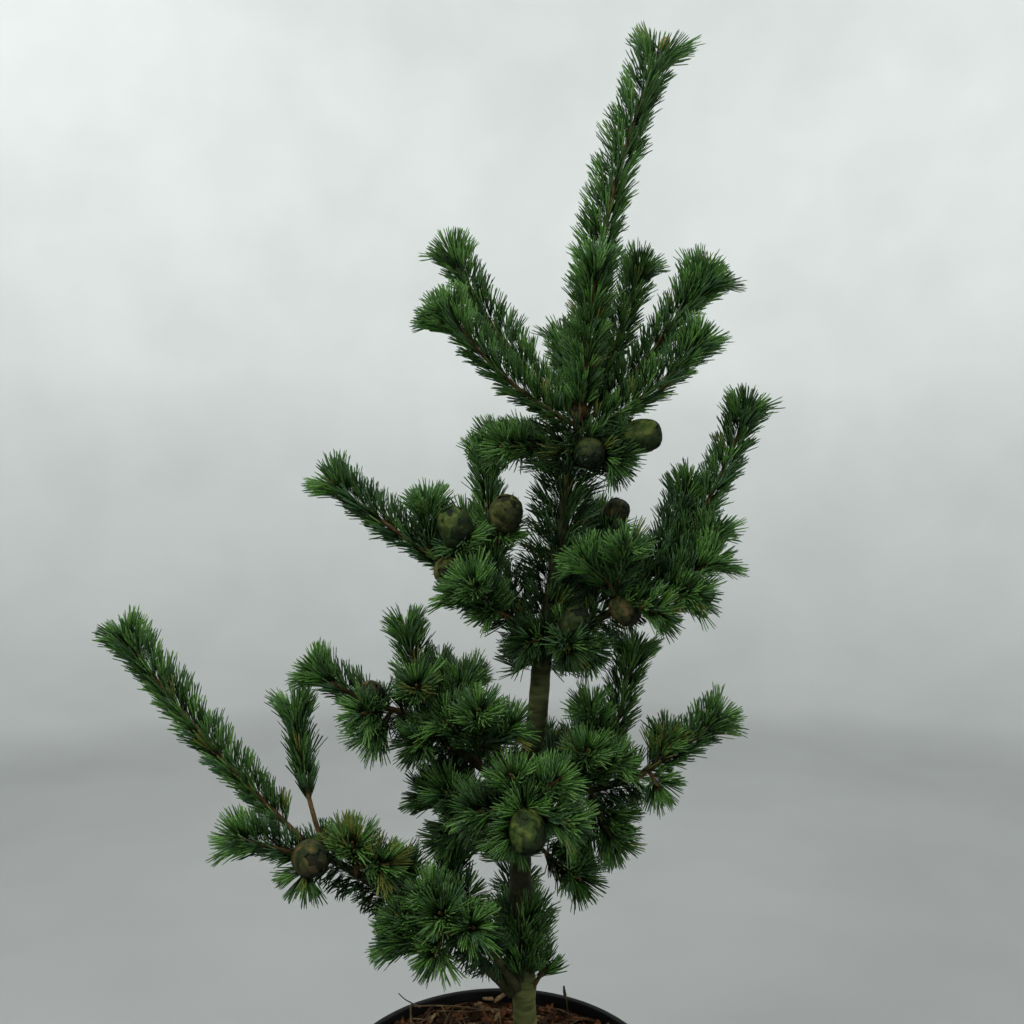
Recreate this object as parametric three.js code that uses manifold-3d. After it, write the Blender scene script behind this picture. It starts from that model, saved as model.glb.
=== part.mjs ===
// A young Japanese white pine in a round nursery pot: trunk, boughs and needle-clad shoots with cones.
// Millimetres, +Z up. The origin is the centre of the pot's flat underside, and the front is the -Y side.
// Headings are an azimuth, 0 along +X and 90 along +Y, and a rise above the level, both in degrees.
import * as THREE from "three";
import { mergeVertices } from "three/addons/utils/BufferGeometryUtils.js";
import Module from "manifold-3d";

const wasm = await Module();
wasm.setup();

// The pot: a thin tapered wall, a flat floor and a rolled rim
const POT_HEIGHT = 280;
const RIM_RADIUS = 152.5;
const RIM_DEPTH = 9;
const RIM_PROUD = 4.5;
const FOOT_RADIUS = 122;
const WALL = 2.4;
const RIM_ROUND = 2;
const THROAT_DEPTH = 3;
const THROAT_STEP = 0.5;
const POT_SIDES = 36;

// The bark mulch in the pot, with a low mound under the trunk
const MULCH_BELOW_RIM = 13;
const MOUND_RADIUS = 34;
const MOUND_RISE = 4;
const MOUND_FOOT_RADIUS = 61;

// The clearance between two pieces that touch
const GAP = 0.3;

// The trunk: where its centre line bends, its thickness and the heights where boughs leave it
const MULCH_TOP = POT_HEIGHT - MULCH_BELOW_RIM;
const TRUNK_FOOT = MULCH_TOP + MOUND_RISE + GAP;
const TRUNK_TIP = 893;
const TRUNK_BENDS = [
  [26, 0, TRUNK_FOOT],
  [22.5, 0, 362],
  [19.5, 1, 460],
  [22, 2, 540],
  [34, 0, 606],
  [41, -2, 684],
  [57, 0, 782],
  [62, 2, 825],
  [76, 2, TRUNK_TIP],
];
const TRUNK_SIDES = 10;
const TRUNK_RINGS = 28;
const RING_CROWDING = 1.25;
const TRUNK_ROOT_RADIUS = 11;
const TRUNK_MID_RADIUS = 8.9;
const UPPER_STEP = 2;
const UPPER_STEP_LENGTH = 12;
const TRUNK_TIP_RADIUS = 4.6;
const FLARE = 6;
const FLARE_HEIGHT = 16;
const FLARE_LOBES = 5;
const FLARE_LOBE_DEPTH = 0.35;
const WHORL_HEIGHTS = [362, 538, 684];
const WHORL_SWELL = 1.3;
const WHORL_REACH = 9;

// The needles: one spike stands for a bundle of five, and each ring of a stem holds three spikes
const NEEDLE_LENGTH = 33;
const NEEDLE_SPREAD = 0.12;
const NEEDLE_ANGLE = 41;
const NEEDLE_LEAN = 6;
const TUFT_ANGLES = [12, 25, 36];
const BUD_LENGTH = 9;
const RING_STEP = 9;
const RING_TWIST = 38;
const STEM_SIDES = 3;
const STEM_RADIUS = 2.5;
const STEM_TIP_RADIUS = 1.7;
const BARE_START = 8;
const FORK_THICKNESS = 0.85;
const SHORTER = [1, 0.8, 0.6];
const HUGGING_SHARE = 0.35;
const LEAST_LEAD = 0.5;
const LIMB_SIDES = 6;
const LIMB_STEP = 20;

// How the foot of a limb is brought up to the limb that carries it
const SEAT_FROM = 22;
const SEAT_REACH = 48;
const SEAT_STEPS = 14;
const EDGE_POINTS = 4;
const UNDERSIDE = new THREE.Vector3(0, 0, -1);

// The cones: scaled ovals, given by their half width and half length
const CONE_WIDTH = 16;
const CONE_LENGTH = 19;
const CONE_SIDES = 7;
const CONE_RINGS = 5;
const CONE_SCALE = 0.09;
const CONE_BLUNTNESS = 0.8;
const CONE_SEAT_DEPTH = 1;

// Boughs, from the lowest whorl up: height on the trunk, azimuth, rise, length, how far the rise turns
// along the limb, and the radius at the root and at the tip
const BOUGHS = {
  bough_low_left: { height: 365, azimuth: 198, rise: 40, length: 229, turn: -12, root: 5.6, tip: 3.1 },
  bough_low_front: { height: 371, azimuth: 228, rise: 46, length: 106, turn: -20, root: 4.4, tip: 2.8 },
  bough_low_back: { height: 358, azimuth: 94, rise: 34, length: 112, turn: 8, root: 4.8, tip: 3 },
  bough_mid_left: { height: 542, azimuth: 191, rise: 38, length: 128, turn: -14, root: 5, tip: 3 },
  bough_mid_front: { height: 528, azimuth: 271, rise: 24, length: 50, turn: 0, root: 4.4, tip: 3 },
  bough_mid_right: { height: 536, azimuth: 355, rise: 15, length: 98, turn: 12, root: 4.8, tip: 3 },
  bough_mid_back: { height: 546, azimuth: 122, rise: 32, length: 104, turn: 8, root: 4.6, tip: 2.9 },
  bough_high_left: { height: 684, azimuth: 193, rise: 44, length: 84, turn: -6, root: 4.6, tip: 2.9 },
  bough_high_right: { height: 684, azimuth: 353, rise: 30, length: 95, turn: -4, root: 4.6, tip: 2.9 },
  bough_high_back: { height: 690, azimuth: 126, rise: 34, length: 84, turn: 8, root: 4.2, tip: 2.8 },
};

// Masses of foliage: each is one stem that leaves a bough, at a share of its length, or the trunk, at a
// height, with its forks, at a share of the stem's length. A cone sits at a share of its stem.
const MASSES = {
  leader: {
    on: "trunk", height: TRUNK_TIP, azimuth: 5, rise: 77.5, length: 338, turn: -22, radius: 3.6, bare: 3,
  },
  top_front: { on: "trunk", height: 888, azimuth: 281, rise: 67, length: 138, turn: 8 },
  top_back_right: { on: "trunk", height: 889, azimuth: 41, rise: 63, length: 166, turn: 12 },
  top_right_high: {
    on: "trunk", height: 887, azimuth: 3, rise: 52, length: 172, turn: 20,
    forks: [{ at: 0.7, azimuth: 345, rise: 46, length: 48, turn: 8 }],
  },
  top_right_low: { on: "trunk", height: 878, azimuth: 331, rise: 34, length: 133, turn: 34 },
  top_back: {
    on: "trunk", height: 880, azimuth: 92, rise: 44, length: 98, turn: 14,
    forks: [
      { at: 0.3, azimuth: 104, rise: 62, length: 78 },
      { at: 0.45, azimuth: 60, rise: 34, length: 66, turn: 20 },
    ],
  },
  top_left_high: { on: "trunk", height: 888, azimuth: 166, rise: 52, length: 197, turn: 24, swing: 18 },
  top_left_low: {
    on: "trunk", height: 880, azimuth: 201, rise: 38.5, length: 158, turn: 32, swing: -8,
    forks: [{ at: 0.8, azimuth: 190, rise: 34, length: 32, turn: 10 }],
  },
  top_low_left: {
    on: "trunk", height: 857, azimuth: 163, rise: 5, length: 76, turn: 8,
    forks: [
      { at: 0.3, azimuth: 118, rise: 10, length: 44 },
      { at: 0.35, azimuth: 216, rise: 2, length: 42 },
    ],
  },
  top_low_front: {
    on: "trunk", height: 864, azimuth: 300, rise: -8, length: 24, turn: 8,
    forks: [
      { at: 0.3, azimuth: 347, rise: 8, length: 48, cones: [{ at: 0.72, azimuth: 344, rise: 8 }] },
      { at: 0.5, azimuth: 334, rise: -28, length: 34 },
    ],
    cones: [{ at: 0.6, azimuth: 272, rise: -26, size: 0.9 }],
  },
  high_left_long: {
    on: "bough_high_left", at: 1, azimuth: 187, rise: 36, length: 145, turn: 8,
    forks: [
      { at: 0.24, azimuth: 258, rise: 76, length: 47 },
      { at: 0.05, azimuth: 290, rise: 56, length: 42, cones: [{ at: 0.7, azimuth: 230, rise: 62 }] },
    ],
    cones: [{ at: 0.1, azimuth: 268, rise: -6, size: 0.85 }],
  },
  high_left_vertical: {
    on: "bough_high_left", at: 0.6, azimuth: 114, rise: 79, length: 136,
    forks: [{ at: 0.3, azimuth: 318, rise: 60, length: 38, cones: [{ at: 0.6, azimuth: 290, rise: 52 }] }],
  },
  high_left_front: {
    on: "bough_high_left", at: 0.35, azimuth: 242, rise: 30, length: 76, turn: 16,
    forks: [
      { at: 0.25, azimuth: 199, rise: 26, length: 46 },
      { at: 0.14, azimuth: 240, rise: 20, length: 28 },
    ],
  },
  high_right_long: { on: "bough_high_right", at: 1, azimuth: 3, rise: 62, length: 187, turn: 18 },
  high_right_upright: { on: "bough_high_right", at: 0.92, azimuth: 12, rise: 63, length: 107, turn: 14 },
  high_right_tufts: {
    on: "bough_high_right", at: 0.96, azimuth: 340, rise: 30, length: 70, turn: 12,
    forks: [
      { at: 0.35, azimuth: 8, rise: 50, length: 64 },
      { at: 0.12, azimuth: 318, rise: 0, length: 42 },
    ],
    cones: [{ at: 0.5, azimuth: 346, rise: -40, size: 0.9 }],
  },
  high_right_front: {
    on: "bough_high_right", at: 0.62, azimuth: 280, rise: 52, length: 74, turn: 10,
    forks: [
      { at: 0.16, azimuth: 322, rise: -12, length: 50 },
      { at: 0.3, azimuth: 200, rise: 40, length: 46 },
    ],
    cones: [{ at: 0.16, azimuth: 316, rise: -38, size: 0.8 }],
  },
  high_right_inner: {
    on: "bough_high_right", at: 0.4, azimuth: 60, rise: 66, length: 88, turn: 10,
    forks: [{ at: 0.3, azimuth: 20, rise: 30, length: 44 }],
    cones: [{ at: 1, azimuth: 330, rise: 60, size: 0.8 }],
  },
  high_front: {
    on: "trunk", height: 690, azimuth: 304, rise: 12, length: 30,
    forks: [
      { at: 0.2, azimuth: 218, rise: -8, length: 32 },
      { at: 0.5, azimuth: 340, rise: -28, length: 32 },
      { at: 0.5, azimuth: 282, rise: -16, length: 28 },
    ],
    cones: [{ at: 0.8, azimuth: 300, rise: 42, size: 0.86 }],
  },
  high_back_left: {
    on: "bough_high_back", at: 1, azimuth: 124, rise: 42, length: 78, turn: 14,
    forks: [
      { at: 0.12, azimuth: 168, rise: 28, length: 64, turn: 20 },
      { at: 0.16, azimuth: 74, rise: 30, length: 62, turn: 20 },
    ],
  },
  high_back_right: {
    on: "trunk", height: 694, azimuth: 62, rise: 39, length: 160, turn: 20, bare: 18,
    forks: [
      { at: 0.36, azimuth: 14, rise: 34, length: 60, turn: 20 },
      { at: 0.44, azimuth: 100, rise: 22, length: 66, turn: 20 },
    ],
    cones: [{ at: 0.4, azimuth: 60, rise: -30 }],
  },
  mid_far_left: {
    on: "bough_mid_left", at: 1, azimuth: 189, rise: 28, length: 84, turn: 22,
    forks: [
      { at: 0.06, azimuth: 238, rise: -36, length: 32 },
      { at: 0.1, azimuth: 240, rise: 4, length: 38 },
    ],
    cones: [{ at: 0.26, azimuth: 262, rise: 40, size: 0.8 }],
  },
  mid_left_shoot: {
    on: "bough_mid_left", at: 0.8, azimuth: 140, rise: 74, length: 86, turn: 8,
    forks: [{ at: 0.14, azimuth: 268, rise: 36, length: 46 }],
  },
  mid_left_inner: {
    on: "bough_mid_left", at: 0.6, azimuth: 60, rise: 60, length: 56, turn: 8,
    forks: [
      { at: 0.16, azimuth: 236, rise: -6, length: 50 },
      { at: 0.24, azimuth: 140, rise: 44, length: 42 },
    ],
  },
  mid_front_left: {
    on: "bough_mid_left", at: 0.32, azimuth: 272, rise: 50, length: 76, turn: 12,
    forks: [
      { at: 0.3, azimuth: 216, rise: 40, length: 50 },
      { at: 0.3, azimuth: 332, rise: 34, length: 42 },
    ],
  },
  mid_low_left: {
    on: "trunk", height: 522, azimuth: 189, rise: 16, length: 83, turn: 12, bare: 14,
    forks: [
      { at: 0.35, azimuth: 190, rise: -44, length: 46 },
      { at: 0.45, azimuth: 244, rise: 30, length: 50 },
      { at: 0.4, azimuth: 150, rise: 46, length: 44 },
      { at: 0.55, azimuth: 276, rise: 20, length: 44 },
    ],
  },
  mid_front: {
    on: "bough_mid_front", at: 1, azimuth: 272, rise: 8, length: 24,
    forks: [
      { at: 0.1, azimuth: 222, rise: 64, length: 32 },
      { at: 0.2, azimuth: 332, rise: 40, length: 44 },
      { at: 0.25, azimuth: 200, rise: 0, length: 46 },
      { at: 0.35, azimuth: 338, rise: -14, length: 44 },
      { at: 0.4, azimuth: 236, rise: -50, length: 30 },
    ],
    cones: [{ at: 0.9, azimuth: 282, rise: -54 }],
  },
  mid_right_far: {
    on: "bough_mid_right", at: 1, azimuth: 354, rise: 38, length: 91, turn: 12,
    forks: [
      { at: 0.1, azimuth: 292, rise: -30, length: 20 },
      { at: 0.14, azimuth: 330, rise: 62, length: 34 },
    ],
  },
  mid_right_upright: {
    on: "bough_mid_right", at: 0.64, azimuth: 44, rise: 68, length: 127, turn: 8,
    forks: [{ at: 0.14, azimuth: 230, rise: 62, length: 62 }],
  },
  mid_right_inner: {
    on: "bough_mid_right", at: 0.36, azimuth: 284, rise: 48, length: 66, turn: 10,
    forks: [{ at: 0.3, azimuth: 336, rise: 30, length: 46 }],
  },
  mid_right_low: {
    on: "bough_mid_right", at: 0.52, azimuth: 308, rise: -50, length: 49, turn: 10,
    forks: [
      { at: 0.2, azimuth: 228, rise: -50, length: 44 },
      { at: 0.2, azimuth: 345, rise: -34, length: 24 },
    ],
  },
  mid_low_front: { on: "trunk", height: 504, azimuth: 309, rise: -15, length: 70, turn: 12, bare: 24 },
  mid_back_left: {
    on: "bough_mid_back", at: 1, azimuth: 130, rise: 27, length: 68, turn: 14,
    forks: [
      { at: 0.12, azimuth: 168, rise: 18, length: 56, turn: 20 },
      { at: 0.16, azimuth: 84, rise: 12, length: 56, turn: 20 },
    ],
  },
  mid_back_right: {
    on: "trunk", height: 544, azimuth: 62, rise: 9, length: 114, turn: 20, bare: 18,
    forks: [
      { at: 0.36, azimuth: 20, rise: 20, length: 62, turn: 20 },
      { at: 0.42, azimuth: 96, rise: 16, length: 54, turn: 20 },
    ],
    cones: [{ at: 0.34, azimuth: 80, rise: -24 }],
  },
  low_far_left: {
    on: "bough_low_left", at: 1, azimuth: 187, rise: 50.5, length: 244, turn: 12, radius: 2.8, bare: 32,
  },
  low_left_upright: {
    on: "bough_low_left", at: 0.97, azimuth: 160, rise: 77, length: 123, turn: 18, bare: 42,
  },
  low_left_tuft: {
    on: "bough_low_left", at: 0.96, azimuth: 203, rise: 23, length: 76, turn: -4,
    forks: [{ at: 0.1, azimuth: 252, rise: -38, length: 18 }],
    cones: [{ at: 0.2, azimuth: 300, rise: 12 }],
  },
  low_left_inner: {
    on: "bough_low_left", at: 0.82, azimuth: 268, rise: 58, length: 34,
    forks: [
      { at: 0.2, azimuth: 190, rise: 60, length: 25 },
      { at: 0.12, azimuth: 320, rise: 16, length: 40 },
    ],
  },
  low_left_upper: {
    on: "bough_low_left", at: 0.58, azimuth: 150, rise: 64, length: 29,
    forks: [{ at: 0.15, azimuth: 270, rise: 44, length: 40 }],
  },
  low_left_mid: {
    on: "bough_low_left", at: 0.4, azimuth: 60, rise: 66, length: 66,
    forks: [{ at: 0.15, azimuth: 340, rise: 30, length: 28 }],
  },
  low_front: {
    on: "bough_low_front", at: 1, azimuth: 254, rise: 36, length: 46,
    forks: [
      { at: 0.1, azimuth: 300, rise: 18, length: 36 },
      { at: 0.2, azimuth: 200, rise: 50, length: 40 },
    ],
  },
  low_front_left: {
    on: "bough_low_front", at: 0.92, azimuth: 190, rise: -3, length: 58, turn: 16,
    forks: [
      { at: 0.2, azimuth: 246, rise: -30, length: 20 },
      { at: 0.25, azimuth: 196, rise: 32, length: 44 },
    ],
  },
  low_right: { on: "trunk", height: 368, azimuth: 332, rise: 58, length: 14 },
  low_back: {
    on: "bough_low_back", at: 1, azimuth: 98, rise: 44, length: 132, turn: 14,
    forks: [
      { at: 0.1, azimuth: 156, rise: 34, length: 76, turn: 20 },
      { at: 0.14, azimuth: 48, rise: 24, length: 60, turn: 20 },
      { at: 0.3, azimuth: 120, rise: 66, length: 56 },
    ],
  },
};

// Strips of needles that stand on the trunk itself: the heights where they begin and end, and their side
const STRIPS = {
  trunk_needles_left: { from: 716, to: 842, side: 200 },
  trunk_needles_right: { from: 722, to: 838, side: 330 },
  trunk_needles_low: { from: 388, to: 462, side: 320 },
};

const BARK = { color: 0x5c5a3c, roughness: 0.85, metalness: 0 };
const TWIG_AND_NEEDLE = { color: 0x2f5a33, roughness: 0.6, metalness: 0 };
const BLACK_PLASTIC = { color: 0x17181a, roughness: 0.5, metalness: 0 };
const MULCH = { color: 0x5b3524, roughness: 0.95, metalness: 0 };

// Numbers between 0 and 1 that come out the same on every run
let seed = 20611;
function random() {
  seed = (seed * 1103515245 + 12345) % 2147483648;
  return seed / 2147483648;
}

function heading(azimuth, rise) {
  const a = THREE.MathUtils.degToRad(azimuth);
  const r = THREE.MathUtils.degToRad(rise);
  return new THREE.Vector3(Math.cos(a) * Math.cos(r), Math.sin(a) * Math.cos(r), Math.sin(r));
}

// The centre line of a limb that starts at a point and keeps its mean heading while it turns and swings
function limbLine(start, { azimuth, rise, length, turn = 0, swing = 0 }, step) {
  const steps = Math.max(2, Math.round(length / step));
  const points = [start.clone()];
  for (let i = 0; i < steps; i++) {
    const share = (i + 0.5) / steps - 0.5;
    const way = heading(azimuth + swing * share, rise + turn * share);
    points.push(points[i].clone().addScaledVector(way, length / steps));
  }
  return points;
}

// The same line with its last two steps halved, so that more needles stand at the tip
function crowdTip(points) {
  const last = points.length - 1;
  const extra = (i) => points[i].clone().lerp(points[i + 1], 0.5);
  return [...points.slice(0, last - 1), extra(last - 2), points[last - 1], extra(last - 1), points[last]];
}

// The direction of a line of points at each of its points
function tangents(points) {
  return points.map((p, i) => {
    const before = points[Math.max(0, i - 1)];
    const after = points[Math.min(points.length - 1, i + 1)];
    return after.clone().sub(before).normalize();
  });
}

// A point at a share of a line's length, with the direction there
function along(points, share) {
  const curve = new THREE.CatmullRomCurve3(points);
  return { point: curve.getPointAt(share), way: curve.getTangentAt(share) };
}

// Rings of points round a line, turned a little more at each ring, with the frame carried along the line
function ringsRound(points, ways, radiusAt, sides, twist, firstSide) {
  const rings = [];
  let side = firstSide.clone();
  for (let k = 0; k < points.length; k++) {
    side.addScaledVector(ways[k], -side.dot(ways[k])).normalize();
    const other = new THREE.Vector3().crossVectors(ways[k], side);
    const ring = [];
    for (let j = 0; j < sides; j++) {
      const angle = (2 * Math.PI * j) / sides + THREE.MathUtils.degToRad(twist * k);
      const radius = radiusAt(k, angle);
      const out = side.clone().multiplyScalar(Math.cos(angle)).addScaledVector(other, Math.sin(angle));
      ring.push(points[k].clone().addScaledVector(out, radius));
    }
    rings.push(ring);
  }
  return rings;
}

// A closed surface over rings of points. A quad between two rings becomes a spike where apexOf gives a
// point for it, and the far end closes flat or in a point.
function closedSurface(rings, apexOf, tipPoint) {
  const sides = rings[0].length;
  const vertices = rings.flat();
  const faces = [];
  const corner = (k, j) => k * sides + (j % sides);
  for (let k = 0; k + 1 < rings.length; k++) {
    for (let j = 0; j < sides; j++) {
      const quad = [corner(k, j), corner(k, j + 1), corner(k + 1, j + 1), corner(k + 1, j)];
      const apex = apexOf ? apexOf(k, j) : null;
      if (apex) {
        const tip = vertices.push(apex) - 1;
        quad.forEach((v, i) => faces.push([v, quad[(i + 1) % 4], tip]));
      } else {
        faces.push([quad[0], quad[1], quad[2]], [quad[0], quad[2], quad[3]]);
      }
    }
  }
  for (let j = 1; j + 1 < sides; j++) faces.push([corner(0, 0), corner(0, j + 1), corner(0, j)]);
  const last = rings.length - 1;
  if (tipPoint) {
    const tip = vertices.push(tipPoint) - 1;
    for (let j = 0; j < sides; j++) faces.push([corner(last, j), corner(last, j + 1), tip]);
  } else {
    for (let j = 1; j + 1 < sides; j++) faces.push([corner(last, 0), corner(last, j), corner(last, j + 1)]);
  }
  const geometry = new THREE.BufferGeometry();
  const numbers = vertices.flatMap((v) => v.toArray());
  geometry.setAttribute("position", new THREE.Float32BufferAttribute(numbers, 3));
  geometry.setIndex(faces.flat());
  return geometry;
}

function solidOf(geometry) {
  const bare = geometry.clone();
  bare.deleteAttribute("normal");
  bare.deleteAttribute("uv");
  const merged = mergeVertices(bare, 1e-4);
  const vertProperties = new Float32Array(merged.attributes.position.array);
  const triVerts = new Uint32Array(merged.index.array);
  return new wasm.Manifold(new wasm.Mesh({ numProp: 3, vertProperties, triVerts }));
}

function geometryOf(solid) {
  const mesh = solid.getMesh();
  const geometry = new THREE.BufferGeometry();
  geometry.setAttribute("position", new THREE.BufferAttribute(mesh.vertProperties, 3));
  geometry.setIndex(new THREE.BufferAttribute(mesh.triVerts, 1));
  return geometry;
}

// The shortest way between two straight stretches: how far along each it lies, and its length
function nearest(a, b, c, d) {
  const u = b.clone().sub(a);
  const v = d.clone().sub(c);
  const w = a.clone().sub(c);
  const uu = u.dot(u);
  const vv = v.dot(v);
  const uv = u.dot(v);
  const uw = u.dot(w);
  const vw = v.dot(w);
  const clamp = THREE.MathUtils.clamp;
  const area = uu * vv - uv * uv;
  let s = area > 1e-9 ? clamp((uv * vw - vv * uw) / area, 0, 1) : 0;
  const t = clamp((uv * s + vw) / vv, 0, 1);
  s = clamp((uv * t - uw) / uu, 0, 1);
  const distance = w.addScaledVector(u, s).addScaledVector(v, -t).length();
  return { s, t, distance };
}

// Everything that a needle must stay clear of: tapered stretches with an owner
const stretches = [];
function addStretch(owner, kind, from, to, fromRadius, toRadius) {
  const middle = from.clone().add(to).multiplyScalar(0.5);
  const reach = from.distanceTo(to) / 2 + Math.max(fromRadius, toRadius);
  stretches.push({ owner, kind, from, to, fromRadius, toRadius, middle, reach });
}

function addLine(owner, kind, points, radiusAt) {
  for (let i = 0; i + 1 < points.length; i++) {
    addStretch(owner, kind, points[i], points[i + 1], radiusAt(i), radiusAt(i + 1));
  }
}

// The trunk's centre line and its radius, with the root flare and the swelling at each whorl
const trunkCurve = new THREE.CatmullRomCurve3(TRUNK_BENDS.map((p) => new THREE.Vector3(...p)));
const trunkPoints = [];
for (let i = 0; i <= TRUNK_RINGS; i++) {
  const share = i / TRUNK_RINGS;
  trunkPoints.push(trunkCurve.getPointAt(share ** RING_CROWDING));
}

function trunkRadius(z) {
  const middle = WHORL_HEIGHTS[2];
  const lower = THREE.MathUtils.mapLinear(z, TRUNK_FOOT, middle, TRUNK_ROOT_RADIUS, TRUNK_MID_RADIUS);
  const thinner = TRUNK_MID_RADIUS - UPPER_STEP;
  const upper = THREE.MathUtils.mapLinear(z, middle, TRUNK_TIP, thinner, TRUNK_TIP_RADIUS);
  const bare = z < middle ? lower : upper + UPPER_STEP * Math.exp(-(z - middle) / UPPER_STEP_LENGTH);
  let swell = 0;
  for (const height of WHORL_HEIGHTS) swell += WHORL_SWELL * Math.exp(-(((z - height) / WHORL_REACH) ** 2));
  return bare + swell;
}

function trunkFlare(z) {
  return FLARE * Math.exp(-(z - TRUNK_FOOT) / FLARE_HEIGHT);
}

// The trunk's centre at a height
function trunkAt(height) {
  let low = 0;
  let high = 1;
  for (let i = 0; i < 30; i++) {
    const middle = (low + high) / 2;
    if (trunkCurve.getPointAt(middle).z < height) low = middle;
    else high = middle;
  }
  return { point: trunkCurve.getPointAt(low), way: trunkCurve.getTangentAt(low) };
}

function trunkSurface() {
  const ways = tangents(trunkPoints);
  ways[0].set(0, 0, 1);
  const radiusAt = (k, angle) => {
    const z = trunkPoints[k].z;
    return trunkRadius(z) + trunkFlare(z) * (1 + FLARE_LOBE_DEPTH * Math.cos(FLARE_LOBES * angle));
  };
  const rings = ringsRound(trunkPoints, ways, radiusAt, TRUNK_SIDES, 0, new THREE.Vector3(1, 0, 0));
  return closedSurface(rings, null, null);
}

function boughSurface({ points, radiusAt }) {
  const rings = ringsRound(points, tangents(points), radiusAt, LIMB_SIDES, 0, UNDERSIDE);
  return closedSurface(rings, null, null);
}

// The faces of a surface that lie round a point
function facesRound(geometry, point) {
  const { position } = geometry.attributes;
  const { array } = geometry.index;
  const faces = [];
  for (let i = 0; i < array.length; i += 3) {
    const corners = [0, 1, 2].map((c) => new THREE.Vector3().fromBufferAttribute(position, array[i + c]));
    if (corners.some((c) => c.distanceTo(point) < SEAT_REACH)) faces.push(new THREE.Triangle(...corners));
  }
  return faces;
}

// Points along the edges of a ring
function edgePoints(ring) {
  const shares = Array.from({ length: EDGE_POINTS }, (_, i) => i / EDGE_POINTS);
  return ring.flatMap((corner, j) => shares.map((u) => corner.clone().lerp(ring[(j + 1) % ring.length], u)));
}

// Where a limb starts on the limb that carries it: its flat end is brought up to the carrier until the
// nearest point of its edge lies at the clearance from the carrier's faces
function startOn(carrier, carrierSurface, way, radius, sides, side, straightOn) {
  const out = way.clone().addScaledVector(carrier.way, -way.dot(carrier.way)).normalize();
  const aside = straightOn ? carrier.way : out;
  const start = carrier.point.clone().addScaledVector(aside, SEAT_FROM);
  const faces = facesRound(carrierSurface, start);
  const near = new THREE.Vector3();
  for (let i = 0; i < SEAT_STEPS; i++) {
    const [ring] = ringsRound([start], [way], () => radius, sides, 0, side);
    let least = Infinity;
    for (const point of edgePoints(ring)) {
      for (const face of faces) {
        least = Math.min(least, face.closestPointToPoint(point, near).distanceTo(point));
      }
    }
    start.addScaledVector(aside, GAP - least);
  }
  return start;
}

function taper(points, root, tip) {
  return (k) => THREE.MathUtils.lerp(root, tip, k / (points.length - 1));
}

// Lay out the trunk and the boughs
function trunkFaceRadius(i) {
  return trunkRadius(trunkPoints[i].z) + trunkFlare(trunkPoints[i].z);
}
addLine("trunk", "limb", trunkPoints, trunkFaceRadius);
const surfaces = { trunk: trunkSurface() };
const boughLines = {};
for (const [name, bough] of Object.entries(BOUGHS)) {
  const first = heading(bough.azimuth, bough.rise - bough.turn / 2);
  const carrier = trunkAt(bough.height);
  const start = startOn(carrier, surfaces.trunk, first, bough.root, LIMB_SIDES, UNDERSIDE, false);
  const points = limbLine(start, bough, LIMB_STEP);
  boughLines[name] = { points, radiusAt: taper(points, bough.root, bough.tip) };
  surfaces[name] = boughSurface(boughLines[name]);
  addLine(name, "limb", points, boughLines[name].radiusAt);
}

// Lay out the stems of each mass, the cones on them and where their needles may stand
function layStem(mass, shoot, start, radius, bare) {
  const points = crowdTip(limbLine(start, shoot, RING_STEP));
  const radiusAt = taper(points, radius, STEM_TIP_RADIUS);
  mass.stems.push({ points, radiusAt, bare });
  addLine(mass.name, "stem", points, radiusAt);
  for (const fork of shoot.forks || []) {
    layStem(mass, fork, along(points, fork.at).point, radius * FORK_THICKNESS, BARE_START + radius);
  }
  for (const cone of shoot.cones || []) {
    const size = cone.size || 1;
    const way = heading(cone.azimuth, cone.rise);
    const seat = along(points, cone.at).point;
    const centre = seat.addScaledVector(way, CONE_LENGTH * size - CONE_SEAT_DEPTH);
    mass.cones.push({ centre, way, size });
    const core = CONE_WIDTH * size;
    const end = way.clone().multiplyScalar((CONE_LENGTH - CONE_WIDTH) * size);
    addStretch(mass.name, "cone", centre.clone().sub(end), centre.clone().add(end), core, core);
  }
}

const masses = Object.entries(MASSES).map(([name, shoot]) => {
  const onTrunk = shoot.on === "trunk";
  const radius = shoot.radius || STEM_RADIUS;
  const first = heading(shoot.azimuth - (shoot.swing || 0) / 2, shoot.rise - (shoot.turn || 0) / 2);
  const bough = boughLines[shoot.on];
  const carrier = onTrunk ? trunkAt(shoot.height) : along(bough.points, shoot.at);
  const straightOn = onTrunk ? shoot.height === TRUNK_TIP : shoot.at === 1;
  const inward = straightOn ? UNDERSIDE : heading(shoot.azimuth + 180, 0);
  const start = startOn(carrier, surfaces[shoot.on], first, radius, STEM_SIDES, inward, straightOn);
  const mass = { name, start, inward, stems: [], cones: [] };
  layStem(mass, shoot, start, radius, shoot.bare ?? BARE_START);
  return mass;
});

// Lay out the strips: a thin stem that follows the trunk, clear of its bark
for (const [name, { from, to, side }] of Object.entries(STRIPS)) {
  const points = [];
  const steps = Math.round((to - from) / RING_STEP);
  for (let i = 0; i <= steps; i++) {
    const height = THREE.MathUtils.lerp(from, to, i / steps);
    const away = trunkRadius(height) + trunkFlare(height) + GAP + STEM_TIP_RADIUS;
    points.push(trunkAt(height).point.addScaledVector(heading(side, 0), away));
  }
  const inward = heading(side + 180, 0);
  const mass = { name, start: points[0], inward, stems: [], cones: [], hugs: "trunk" };
  const radiusAt = () => STEM_TIP_RADIUS;
  mass.stems.push({ points, radiusAt, bare: 0 });
  addLine(name, "stem", points, radiusAt);
  masses.push(mass);
}

function distanceTo(stretch, point) {
  const line = new THREE.Line3(stretch.from, stretch.to);
  return line.closestPointToPoint(point, true, new THREE.Vector3()).distanceTo(point);
}

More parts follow.
